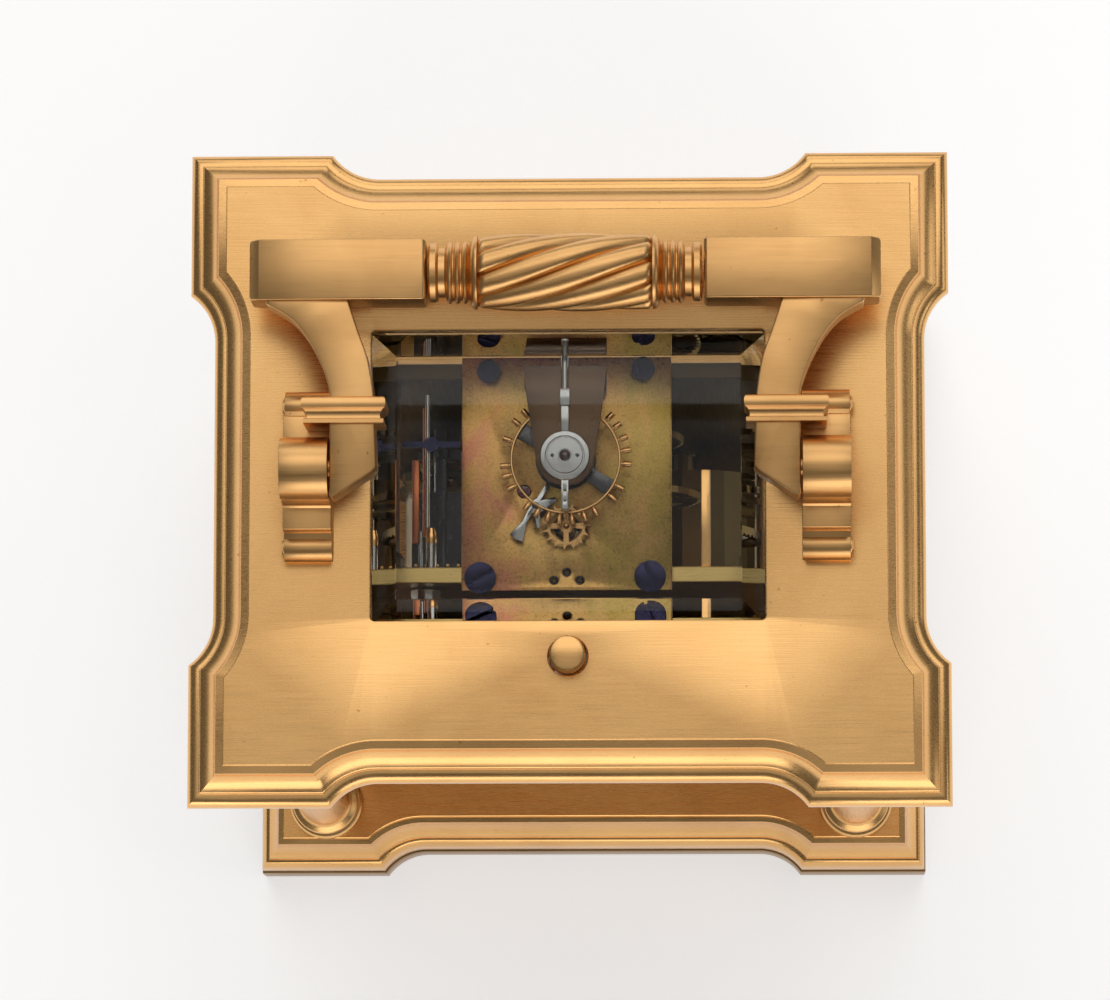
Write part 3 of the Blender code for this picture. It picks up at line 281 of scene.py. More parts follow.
@once
def mottled_brass(name, colour, rosy_side=0.0):
    """Old lacquered plate: olive and gold clouds, rosy towards one side, with a fine speckle."""
    new = Finish(name, 1.0, 0.3)
    clouds = new.noise((105.0, 60.0, 70.0), 3.0, 0.6, 0.5)
    speckle = new.noise((2600.0, 2600.0, 2600.0), 2.0, 0.6)
    across = new.node("SeparateXYZ")
    new.link(new.coordinates, across.inputs["Vector"])
    side = new.fit(across.outputs["X"], 0.5 + rosy_side, 0.5 - rosy_side * 0.35, -15.0 * MM, 9.0 * MM)
    blend = new.mix(new.ramp(clouds, ((0.3, (0.0, 0.0, 0.0)), (0.7, (1.0, 1.0, 1.0)))), side, 0.5)
    olive = (colour[0] * 0.80, colour[1] * 0.90, colour[2] * 0.70)
    rosy = (colour[0] * 1.06, colour[1] * 0.74, colour[2] * 1.15)
    tone = new.ramp(blend, ((0.34, olive), (0.46, tuple(colour)), (0.56, tint(colour, 1.04, 0.06)),
                            (0.72, rosy)))
    grit = new.ramp(speckle, ((0.36, (0.52, 0.46, 0.40)), (0.54, (1.0, 1.0, 1.0))))
    return new.set(base_color=new.mix(tone, grit, 0.6, "MULTIPLY"), normal=new.bump(speckle, 0.00001, 0.4),
                   roughness=new.fit(speckle, 0.26, 0.38))


@once
def clear_glass(name, tone, ior=1.5, gloss=0.7):
    """Plate glass with a faint tint and the odd wipe mark."""
    new = Finish(name, 0.0, 0.0)
    wipes = new.noise((30.0, 180.0, 30.0), 2.0, 0.5, 0.8)
    new.shader.inputs["Transmission Weight"].default_value = 1.0
    new.shader.inputs["IOR"].default_value = ior
    new.shader.inputs["Specular Tint"].default_value = (gloss, gloss, gloss, 1.0)
    return new.set(base_color=new.ramp(wipes, ((0.3, tone), (0.7, tint(tone, 1.02)))),
                   roughness=new.fit(wipes, 0.0, 0.012))


@once
def enamel(name):
    """Fired white enamel with a soft gloss."""
    new = Finish(name, 0.0, 0.15)
    haze = new.noise((60.0, 60.0, 60.0), 3.0)
    new.shader.inputs["Coat Weight"].default_value = 0.6
    return new.set(base_color=new.ramp(haze, ((0.3, (0.83, 0.81, 0.75)), (0.7, (0.89, 0.88, 0.84)))))


def gem(name, colour, roughness, metallic=0.0):
    """Polished stone or black ink: a polished finish that is not metal."""
    made = polished(name, colour, roughness)
    made.node_tree.nodes["Principled BSDF"].inputs["Metallic"].default_value = metallic
    return made


def gilt():
    return brushed("gilt_brushed", finish().gilt, 0.26, "X", 0.45, 0.8)


def gilt_bright():
    return polished("gilt_bright", finish().gilt, 0.2)


def gilt_upright():
    return brushed("gilt_brushed_upright", finish().gilt, 0.30, "Z")


def base_gilt():
    return brushed("base_gilt", finish().base, 0.27, "X", 0.4)


def slab_gilt():
    return brushed("slab_gilt", tint(finish().base, 0.4), 0.3, "X", 0.4)


def handle_gilt():
    return brushed("handle_gilt", finish().handle, 0.33, "X", 0.5, 1.3)


def movement_brass():
    # Movement brass darkened to 0.42 as painted shade of the case's inside.
    return brushed("old_movement_brass", tint(finish().movement, 0.42), 0.4, "Z", 0.8, 1.4)


def plate_edge():
    return brushed("plate_edge_brass", (0.62, 0.43, 0.155), 0.3, "X", 1.0)


def bright_steel():
    return polished("bright_steel", finish().steel, 0.18)


def dark_steel():
    return polished("dark_steel", (0.09, 0.085, 0.085), 0.25)


def blued():
    return polished("tempered_blue", finish().blue, 0.24)


def wheel_gold():
    return polished("wheel_gold", tint(finish().gilt, 0.95), 0.22)


def train_brass():
    # Train brass darkened to 0.6 as painted shade of the case's inside.
    return polished("train_brass", tint(finish().movement, 0.6), 0.32)


# ---------------------------------------------------------------- modelling helpers

def publish(mesh_data, name, surface, body, replaces=(), sharp=32.0):
    """Turn a bmesh in millimetres into a finished piece that rides on a body."""
    bmesh.ops.scale(mesh_data, vec=(MM, MM, MM), verts=mesh_data.verts)
    bmesh.ops.remove_doubles(mesh_data, verts=mesh_data.verts, dist=1e-6)
    bmesh.ops.recalc_face_normals(mesh_data, faces=mesh_data.faces)
    mesh = bpy.data.meshes.new(name)
    mesh_data.to_mesh(mesh)
    mesh_data.free()
    mesh.shade_smooth()
    mesh.set_sharp_from_angle(angle=math.radians(sharp))
    mesh.materials.append(surface)
    piece = bpy.data.objects.new(name, mesh)
    bpy.context.scene.collection.objects.link(piece)
    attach(piece, body)
    if replaces:
        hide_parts(*replaces)
    return piece


def dress(node, surface, edge=0.0):
    """Give a construction node its finish, and soft edges where asked."""
    piece = NODES[node]
    piece.data.materials.clear()
    piece.data.materials.append(surface)
    if edge:
        weld = piece.modifiers.new("weld", "WELD")
        weld.merge_threshold = 1e-6
        soft = piece.modifiers.new("edge", "BEVEL")
        soft.width = edge * MM
        soft.segments = 2
        soft.limit_method = "ANGLE"
        soft.angle_limit = math.radians(40)
    return piece


def merge_in(target, source):
    """Add one bmesh to another."""
    mesh = bpy.data.meshes.new("work")
    source.to_mesh(mesh)
    source.free()
    target.from_mesh(mesh)
    bpy.data.meshes.remove(mesh)
    return target


def wire(mesh_data, points, closed=True):
    """Join points by edges."""
    verts = [mesh_data.verts.new(point) for point in points]
    pairs = list(zip(verts, verts[1:] + verts[:1]))
    if not closed:
        pairs.pop()
    return [mesh_data.edges.new(pair) for pair in pairs]


def plate(outline, low, high, axis="Z", holes=()):
    """A plate with holes between two heights along an axis."""
    new = bmesh.new()
    edges = []
    for loop in (outline, *holes):
        edges += wire(new, [stand(u, v, low, axis) for u, v in loop])
    bmesh.ops.triangle_fill(new, edges=edges, use_beauty=True)
    made = bmesh.ops.extrude_face_region(new, geom=new.faces[:], use_keep_orig=True)
    moved = [g for g in made["geom"] if isinstance(g, bmesh.types.BMVert)]
    bmesh.ops.translate(new, vec=stand(0, 0, high - low, axis), verts=moved)
    bmesh.ops.recalc_face_normals(new, faces=new.faces)
    return new


def stand(u, v, t, axis):
    """A point of a flat outline at height t along an axis."""
    return Vector({"X": (t, u, v), "Y": (u, t, v), "Z": (u, v, t)}[axis])


def turned(profile, centre, axis="Z", count=48):
    """Spin a profile of (radius, height) pairs about an axis through a centre (u, v)."""
    new = bmesh.new()
    points = [stand(centre[0] + radius, centre[1], height, axis) for radius, height in profile]
    edges = wire(new, points, closed=False)
    geometry = list({v for e in edges for v in e.verts}) + edges
    bmesh.ops.spin(new, geom=geometry, cent=stand(*centre, 0, axis), axis=stand(0, 0, 1, axis),
                   angle=TURN, steps=count, use_merge=True)
    bmesh.ops.remove_doubles(new, verts=new.verts, dist=1e-4)
    bmesh.ops.recalc_face_normals(new, faces=new.faces)
    return new


def rod(radius, low, high, centre, axis="Z", count=24):
    """A plain round rod between two heights."""
    return turned([(0.0, low), (radius, low), (radius, high), (0.0, high)], centre, axis, count)


def soften(mesh_data, width, limit=38.0, segments=2):
    """Round every edge sharper than a limit."""
    edges = [e for e in mesh_data.edges
             if len(e.link_faces) == 2 and e.calc_face_angle(0.0) > math.radians(limit)]
    bmesh.ops.bevel(mesh_data, geom=edges, offset=width, segments=segments, profile=0.5,
                    affect="EDGES", material=-1, clamp_overlap=True)
    return mesh_data


def circle(radius, count, centre=(0.0, 0.0), start=0.0):
    return [(centre[0] + radius * math.cos(start + TURN * i / count),
             centre[1] + radius * math.sin(start + TURN * i / count)) for i in range(count)]


def arc(centre, radius, start, end, steps):
    """Points on an arc; angles in degrees."""
    points = []
    for i in range(steps + 1):
        angle = math.radians(start + (end - start) * i / steps)
        points.append((centre[0] + radius * math.cos(angle), centre[1] + radius * math.sin(angle)))
    return points


def rounded_rectangle(half_u, half_v, radius, centre=(0.0, 0.0), steps=5):
    points = []
    for index, (su, sv) in enumerate(((1, 1), (-1, 1), (-1, -1), (1, -1))):
        middle = (centre[0] + su * (half_u - radius), centre[1] + sv * (half_v - radius))
        points += arc(middle, radius, 90 * index, 90 * index + 90, steps)
    return points


def rectangle(u0, u1, v0, v1):
    return [(u0, v0), (u1, v0), (u1, v1), (u0, v1)]


def box(x, y, z):
    """A box between pairs of places along X, Y and Z."""
    new = bmesh.new()
    bmesh.ops.create_cube(new, size=1.0)
    bmesh.ops.scale(new, vec=(x[1] - x[0], y[1] - y[0], z[1] - z[0]), verts=new.verts)
    bmesh.ops.translate(new, vec=(sum(x) / 2, sum(y) / 2, sum(z) / 2), verts=new.verts)
    return new


def draw_on(mesh_data, edges, current, following):
    """Extrude edges that lie on one section so that they lie on the following one."""
    made = bmesh.ops.extrude_edge_only(mesh_data, edges=edges)["geom"]
    old = [Vector(point) for point in current]
    for vert in (g for g in made if isinstance(g, bmesh.types.BMVert)):
        nearest = min(range(len(old)), key=lambda i: (old[i] - vert.co).length_squared)
        vert.co = following[nearest]
    ends = {tuple(round(c, 4) for c in Vector(point)) for point in following}
    return [g for g in made if isinstance(g, bmesh.types.BMEdge)
            and all(tuple(round(c, 4) for c in v.co) in ends for v in g.verts)]


def drawn(sections, closed=False):
    """A body drawn through sections of equal point counts, capped or closed on itself."""
    new = bmesh.new()
    edges = first = wire(new, sections[0])
    for current, following in zip(sections, sections[1:]):
        edges = draw_on(new, edges, current, following)
    if not closed:
        bmesh.ops.contextual_create(new, geom=first)
        bmesh.ops.contextual_create(new, geom=edges)
    bmesh.ops.recalc_face_normals(new, faces=new.faces)
    return new


def hollow(start, end, steps=8):
    """Hollow quarter curve between two (inset, height) points, level at its start."""
    return [(start[0] + (end[0] - start[0]) * math.sin(math.pi / 2 * i / steps),
             end[1] + (start[1] - end[1]) * math.cos(math.pi / 2 * i / steps)) for i in range(steps + 1)]


def round_over(start, end, steps=6):
    """Round quarter curve between two (inset, height) points, upright at its start."""
    return [(end[0] + (start[0] - end[0]) * math.cos(math.pi / 2 * i / steps),
             start[1] + (end[1] - start[1]) * math.sin(math.pi / 2 * i / steps)) for i in range(steps + 1)]


def through(points, steps=6):
    """Smooth open curve through flat points."""
    ends = [points[0], *points, points[-1]]

    def between(a, b, c, d, t):
        return 0.5 * (2 * b + (c - a) * t + (2 * a - 5 * b + 4 * c - d) * t ** 2
                      + (3 * b - a - 3 * c + d) * t ** 3)

    curve = []
    for four in zip(ends, ends[1:], ends[2:], ends[3:]):
        for i in range(steps):
            curve.append(tuple(between(*(point[k] for point in four), i / steps) for k in (0, 1)))
    return curve + [points[-1]]


# ---------------------------------------------------------------- case

def plan(inset, z):
    """The case's outline with its square ears, moved in by an inset, at a height."""
    size = case()
    ear, recess, curve = size.ear / MM, size.recess / MM, size.curve / MM
    radius = curve + inset
    turn = math.acos((radius - recess) / radius)
    ring = []
    for quarter in range(4):
        half, reach = (HALF_W, HALF_D) if quarter % 2 == 0 else (HALF_D, HALF_W)
        middle = half - ear - math.sqrt(curve ** 2 - (curve - recess) ** 2)
        side = []
        for i in range(size.curve_steps + 1):
            angle = turn * (1 - i / size.curve_steps)
            side.append((middle + radius * math.sin(angle),
                         reach - recess + curve - radius * math.cos(angle)))
        points = [(-u, v) for u, v in side] + side[::-1] + [(half - inset, reach - inset)]
        matrix = Matrix.Rotation(quarter * math.pi / 2, 3, "Z")
        ring += [matrix @ Vector((u, -v, z)) for u, v in points]
    return ring


def moulded(profile):
    """The plan's outline drawn along a profile; gives the bmesh, its first and its last edges."""
    new = bmesh.new()
    sections = [plan(inset, z) for inset, z in profile]
    edges = first = wire(new, sections[0])
    for current, following in zip(sections, sections[1:]):
        edges = draw_on(new, edges, current, following)
    return new, first, edges


def opening(mesh_data, outline_steps):
    """Walls of an opening drawn through outlines; gives its first and last edges."""
    edges = first = wire(mesh_data, outline_steps[0])
    for current, following in zip(outline_steps, outline_steps[1:]):
        edges = draw_on(mesh_data, edges, current, following)
    return first, edges


def lift(outline, z):
    return [Vector((u, v, z)) for u, v in outline]


def fill(mesh_data, *loops):
    """Close a level area between edge loops."""
    bmesh.ops.triangle_fill(mesh_data, edges=[e for loop in loops for e in loop], use_beauty=True)


def build_cover():
    top, foot = FIELD_Z, 4.4
    low = COVER_Z[0]
    profile = [(foot, low), (foot, top - 12.0), *hollow((foot, top - 11.8), (2.6, top - 8.5), 6)]
    profile += [(2.2, top - 8.4), (2.2, top - 8.0), (0.35, top - 8.0), (0.1, top - 7.85), (0.0, top - 7.6)]
    profile += [(0.0, top - 6.6), *round_over((0.0, top - 6.35), (1.7, top - 4.75), 8)]
    profile += [(1.8, top - 4.75), (1.88, top - 4.65), (1.9, top - 4.15), (2.0, top - 4.0)]
    profile += through([(2.0, top - 4.0), (2.7, top - 3.55), (3.5, top - 2.8), (4.1, top - 1.95),
                        (4.4, top - 1.1)], 4)
    profile += [(4.45, top - 0.75), (4.55, top - 0.62), (5.65, top - 0.36), (5.7, top - 0.3),
                (5.72, top - 0.06),
                (5.8, top)]
    new, bottom, rim = moulded(profile)
    size = case()
    half_w, half_d, corner = size.window_width / MM / 2, size.window_depth / MM / 2, size.window_corner / MM
    middle = (0.0, sum(span("top_glass", 1)) / 2)
    ceiling = top - 2.0
    window = [(0.3, top), (0.08, top - 0.1), (0.0, top - 0.32), (0.0, ceiling)]
    steps = [lift(rounded_rectangle(half_w + out, half_d + out, corner + out, middle), z) for out,
             z in window]
    sill, under = opening(new, steps)
    button = (0.0, sum(span("repeat_button", 1)) / 2)
    radius = 2.9
    well = [(radius + 0.15, top), (radius, top - 0.15), (radius, ceiling)]
    well_top, well_under = opening(new, [lift(circle(r, 40, button), z) for r, z in well])
    fill(new, rim, sill, well_top)
    cavity = [(-37.0, -30.2), (37.0, -30.2), (37.0, 29.2), (-37.0, 29.2)]
    head, skirt = opening(new, [lift(cavity, ceiling), lift(cavity, low)])
    fill(new, under, well_under, head)
    fill(new, bottom, skirt)
    publish(new, "cover", gilt(), "case", ["top_cover"])


def build_base():
    low, high = BASE_Z
    rise = high - low
    profile = [(0.7, low), (0.4, low + 0.12), (0.3, low + 0.4), (0.3, low + 0.2 * rise)]
    profile += round_over((0.32, low + 0.24 * rise), (1.7, low + 0.46 * rise), 8)
    profile += [(1.78, low + 0.47 * rise), (1.84, low + 0.53 * rise)]
    profile += through([(1.95, low + 0.55 * rise), (2.5, low + 0.6 * rise), (3.1, low + 0.69 * rise),
                        (3.5, low + 0.79 * rise), (3.7, low + 0.88 * rise)], 4)
    profile += [(3.8, low + 0.905 * rise), (4.6, low + 0.92 * rise), (4.65, low + 0.93 * rise),
                (4.68, high - 0.1),
                (4.8, high)]
    new, bottom, rim = moulded(profile)
    fill(new, bottom)
    fill(new, rim)
    publish(new, "base", base_gilt(), "case", ["base_moulding"])
    low, high = SLAB_Z
    profile = [(0.4, low), (0.05, low + 0.3), (0.0, low + 0.5), (0.0, high - 0.3), (0.1, high - 0.1),
               (0.4, high)]
    new, bottom, rim = moulded(profile)
    fill(new, bottom)
    fill(new, rim)
    publish(new, "slab", slab_gilt(), "case", ["base_slab"])


def build_columns():
    for across in (-1, 1):
        for depth in (-1, 1):
            name = f"column_{'back' if depth > 0 else 'front'}_{'right' if across > 0 else 'left'}"
            x, y, z = (span(name, axis) for axis in range(3))
            centre = (sum(x) / 2, sum(y) / 2)
            ring, shaft, low, high = (x[1] - x[0]) / 2, 4.0, *z
            foot = [(0.0, 0.0), (ring - 0.3, 0.0), (ring, 0.3), (ring, 1.8), (ring - 0.3, 2.2),
                    (ring - 0.8, 2.35)]
            foot += [(ring - 1.0, 2.9), (shaft + 0.75, 3.3), (shaft + 0.6, 3.5), (shaft + 1.0, 3.7)]
            foot += arc((shaft + 0.9, 4.4), 0.55, -60, 60, 6) + [(shaft + 0.6, 5.2), (shaft + 0.3, 5.5)]
            foot += [(shaft, 6.2), (shaft, 8.0)]
            profile = [(r, low + h) for r, h in foot] + [(r, high - h) for r, h in reversed(foot)]
            publish(turned(profile, centre, "Z", 56), f"turned_{name}", gilt_upright(), "case",
                    [name])


def build_box():
    for side in ("front_left", "front_right", "back_left", "back_right"):
        dress(f"post_{side}", gilt_upright(), 0.35)
    glass = clear_glass("plate_glass", (0.93, 0.965, 0.95))
    for name in ("front_glass", "left_glass", "right_glass"):
        dress(name, glass)
    x, y, z = (span("top_glass", axis) for axis in range(3))
    levels = [(0.0, z[0]), (0.0, z[0] + 0.4), (2.2, z[0] + 0.45), (5.75, z[1] - 0.03), (5.9, z[1])]
    sections = [square(0.0, sum(y) / 2, x[1] - inset, (y[1] - y[0]) / 2 - inset, height, "Z")
                for inset, height in levels]
    publish(drawn(sections), "bevelled_glass", clear_glass("bevelled_glass", (0.95, 0.965, 0.96), 1.75,
                                                           0.16),
            "case", ["top_glass"], 10)
    dress("door_frame", gilt_upright(), 0.25)
    dress("door_glass", glass)
    x, y, z = (span("door_knob", axis) for axis in range(3))
    profile = [(0.0, y[0]), (1.7, y[0]), (1.9, y[0] + 0.3), (1.2, y[0] + 0.7), (1.1, y[0] + 1.6),
               (1.6, y[0] + 2.1)]
    profile += [(2.05, y[0] + 2.5), (2.2, y[0] + 3.1), (2.2, y[0] + 3.9), (1.9, y[0] + 4.6), (1.2, y[1]),
                (0.0, y[1])]
    publish(turned(profile, (sum(x) / 2, sum(z) / 2), "Y", 40), "door_turn_knob", gilt_bright(), "door",
            ["door_knob"])


# ---------------------------------------------------------------- handle

def scroll_outline():
    """Outline of a bracket in (y, z): roll, block, large round, block and roll."""
    low = FIELD_Z + 0.3
    side = arc((-10.4, low + 2.0), 2.1, 250, 62, 14)
    side += [(-8.55, low + 4.1), (-8.4, low + 4.4), (-8.4, FIELD_Z + 6.7), (-8.2, FIELD_Z + 7.0)]
    side += [(-5.2, FIELD_Z + 7.0), (-4.9, FIELD_Z + 7.3), (-4.75, low + 8.6)]
    head = arc((0.0, PIVOT_Z), 4.5, 200, -20, 26)
    points = side + head + [(-y, z) for y, z in reversed(side)]
    return [(y + PIVOT_Y, z) for y, z in points]


def screw_head(centre, face, radius, height, axis="Z", slot=0.55, turn=0.0, sign=1):
    """A slotted head standing on a face: a disc with two raised halves."""
    shapes = turned([(0.0, face), (radius, face), (radius, face + sign * height * 0.45),
                     (0.0, face + sign * height * 0.45)], centre, axis, 32)
    for side in (0, 1):
        start = math.degrees(math.asin(slot / 2 / radius))
        half = arc((0.0, 0.0), radius, start, 180 - start, 16)
        angle = turn + math.pi * side
        outline = [(centre[0] + u * math.cos(angle) - v * math.sin(angle),
                    centre[1] + u * math.sin(angle) + v * math.cos(angle)) for u, v in half]
        low, high = sorted((face + sign * height * 0.4, face + sign * height))
        merge_in(shapes, soften(plate(outline, low, high, axis), 0.12 * radius / 2))
    return shapes


def build_brackets():
    for side, sign in (("left", -1), ("right", 1)):
        x = span(f"handle_bracket_{side}", 0)
        outer = x[1] if sign > 0 else x[0]
        new = plate(scroll_outline(), *x, "X", [circle(1.6, 24, (PIVOT_Y, PIVOT_Z))])
        soften(new, 0.3, 50)
        for y in (-10.4, 10.4):
            centre = (PIVOT_Y + y, FIELD_Z + 2.3)
            merge_in(new, turned([(0.0, outer - sign * 0.5), (1.2, outer - sign * 0.5),
                                  (1.2, outer + sign * 0.15),
                                  (0.9, outer + sign * 0.4), (0.0, outer + sign * 0.5)], centre, "X", 28))
        publish(new, f"scroll_bracket_{side}", handle_gilt(), "case",
                [f"handle_bracket_{side}"])
        shaft = [(0.0, sign * 28.5), (1.5, sign * 28.5), (1.5, sign * 41.05), (1.38, sign * 41.2),
                 (0.0, sign * 41.2)]
        publish(turned(shaft, (PIVOT_Y, PIVOT_Z), "X", 28), f"pivot_pin_{side}", handle_gilt(), "case",
                [f"handle_screw_{side}"])


def arm_outline(sign):
    """Arm in (x, y) from its chisel-cut end up to the end block."""
    outer = through([(33.9, 10.4), (34.4, 12.6), (35.5, 15.4), (37.4, 18.9), (39.8, 21.6), (43.2, 23.6)], 4)
    inner = through([(30.9, 22.6), (29.8, 19.3), (28.4, 15.3), (27.6, 10.4)], 4)
    points = [(27.2, -0.3), (27.9, -1.0), (33.5, -4.7), (33.9, -4.4)] + outer + [(43.2, 26.0),
                                                                                 (32.0, 26.0)] + inner
    return [(sign * x, PIVOT_Y + y) for x, y in points]


def square(u, v, half_u, half_v, t, axis):
    return [stand(a, b, t, axis) for a, b in rectangle(u - half_u, u + half_u, v - half_v, v + half_v)]


def build_arms():
    for side, sign in (("left", -1), ("right", 1)):
        new = soften(plate(arm_outline(sign), PIVOT_Z - 3.2, PIVOT_Z + 3.2), 0.3, 40)
        layers = [(6.0, -0.5), (6.1, -0.3), (6.65, -0.3), (6.75, -0.45), (6.8, -0.75), (7.1, -0.85),
                  (7.6, -0.75),
                  (8.05, -0.45), (8.3, -0.1), (8.4, -0.1), (8.55, -0.02), (8.9, 0.0), (9.35, -0.02),
                  (9.7, -0.14),
                  (9.9, -0.4)]
        sections = [square(sign * 31.9, PIVOT_Z, 6.1 + out, 4.2 + out, PIVOT_Y + y, "Y") for y,
                    out in layers]
        sections = [[Vector((p.x, p.y, p.z)) for p in ring] for ring in sections]
        merge_in(new, drawn(sections))
        half_y, half_z, cut = 4.45, 4.0, 1.05
        places = [(20.1, 0.35, 0.35), (20.35, 0.08, 0.08), (20.6, 0.0, 0.0), (44.2, 0.0, 0.0),
                  (44.35, 0.0, 0.08),
                  (45.4, 0.06, cut - 0.15), (45.6, 0.3, cut)]
        sections = [square(BAR_Y, PIVOT_Z, half_y - a, half_z - b, sign * x, "X") for x, a, b in places]
        block = drawn(sections)
        soften(block, 0.25, 60, 3)
        merge_in(new, block)
        publish(new, f"arm_{side}", handle_gilt(), "handle", [f"handle_arm_{side}"])


def build_grip():
    size = handle()
    groove = size.groove / MM
    end, half, ridge, belly, end_drop = 19.8, 12.6, 5.35, 0.35, 0.5
    profile = [(0.0, end), (4.0, end), (4.3, end - 0.3), (4.3, end - 1.1), (4.0, end - 1.4),
               (3.6, end - 1.5)]
    profile += [(3.6, end - 2.4)]
    for start in (2.6, 3.7, 4.8):
        profile += [(4.05 + 0.5 * math.sin(math.pi * i / 6), end - start - 1.0 * i / 6) for i in range(7)]
    profile += [(3.9, end - 5.95), (4.4, end - 6.1), (5.0, end - 6.3), (5.35, end - 6.7), (5.35, end - 7.1),
                (4.6, half)]
    profile += [(0.0, half - 0.2)]
    new = bmesh.new()
    for sign in (-1, 1):
        merge_in(new, turned([(r, sign * x) for r, x in profile], (BAR_Y, PIVOT_Z), "X", 56))
    sections, steps, per = [], 44, 8
    for i in range(steps + 1):
        place = 2 * i / steps - 1
        swell = belly * (1 - place ** 2) - (end_drop if abs(place) == 1 else 0.0)
        ring = []
        for j in range(size.strands * per):
            lobe = 2 * (j % per) / per - 1
            radius = ridge + swell - groove * (1 - math.sqrt(max(1 - lobe ** 2, 0.0)))
            angle = TURN * j / size.strands / per + size.twist * place / 2
            ring.append(Vector((half * place, BAR_Y + radius * math.cos(angle),
                                PIVOT_Z + radius * math.sin(angle))))
        sections.append(ring)
    merge_in(new, drawn(sections))
    publish(new, "twisted_grip", handle_gilt(), "handle", ["handle_grip"], 42)


# ---------------------------------------------------------------- repeat button

def build_button():
    x, y, z = (span("repeat_button", axis) for axis in range(3))
    low, top, radius = z[0], z[1], (x[1] - x[0]) / 2
    profile = [(0.0, low), (1.2, low), (1.2, FIELD_Z - 3.4), (radius, FIELD_Z - 3.4), (radius, top - 0.32),
               (radius - 0.1, top - 0.1), (radius - 0.32, top), (0.0, top)]
    publish(turned(profile, (sum(x) / 2, sum(y) / 2), "Z", 48), "push_button", gilt(), "repeat_button",
            ["repeat_button"])
    dress("repeat_lever", bright_steel(), 0.1)
    dress("repeat_lever_stud", bright_steel())


# ---------------------------------------------------------------- escapement platform

PLATFORM_TOP = span("platform_plate", 2)[1]
BALANCE_X, BALANCE_Y = (sum(span("balance_wheel", axis)) / 2 for axis in (0, 1))
BALANCE_TOP = 140.0


def build_platform():
    x, y, z = (span("platform_plate", axis) for axis in range(3))
    outline = rectangle(*x, *y)
    wells = [(-2.5, -14.2), (-0.6, -13.0), (1.35, -14.2), (-6.9, -0.9), (-4.9, -3.4)]
    holes = [circle(0.62, 20, spot) for spot in wells[:3]] + [circle(0.95, 24, spot) for spot in wells[3:]]
    new = plate(outline, *z, "Z", [circle(1.9, 28, (-0.6, -6.3)), *holes])
    soften(new, 0.2, 50)
    publish(new, "escapement_plate", mottled_brass("platform_gilt", tint(finish().movement, 1.25, 0.1),
                                                   0.22), "case",
            ["platform_plate"])
    rings = bmesh.new()
    for across, along in wells[:3]:
        low = PLATFORM_TOP - 0.3
        ring = [(0.3, low), (0.6, low), (0.6, PLATFORM_TOP - 0.06), (0.42, PLATFORM_TOP - 0.12),
                (0.3, low + 0.05),
                (0.3, low)]
        merge_in(rings, turned(ring, (across, along), "Z", 20))
    publish(rings, "oil_cups", dark_steel(), "case")
    radius = movement().screw_head / MM
    heads = bmesh.new()
    spots = [(-13.4, -13.9, 0.5, 1.0), (11.8, -13.75, 1.9, 1.0), (-12.2, 17.1, 2.7, 0.74),
             (10.85, 17.4, 1.1, 0.74)]
    for across, along, turn, grow in spots:
        head = screw_head((across, along), PLATFORM_TOP + 0.02, radius * grow, 1.3, "Z", 0.6, turn)
        merge_in(heads, head)
    publish(heads, "platform_screws", blued(), "case")
    stones = bmesh.new()
    for across, along, size in ((-6.9, -0.9, 0.85), (-4.9, -3.4, 0.86), (BALANCE_X, BALANCE_Y, 0.9)):
        rise = PLATFORM_TOP - 0.15
        profile = [(0.0, rise - 0.5), (size, rise - 0.5), (size, rise), (size * 0.4, rise + 0.06),
                   (0.0, rise)]
        merge_in(stones, turned(profile, (across, along), "Z", 24))
    publish(stones, "jewels", gem("ruby", (0.32, 0.03, 0.05), 0.08), "case")


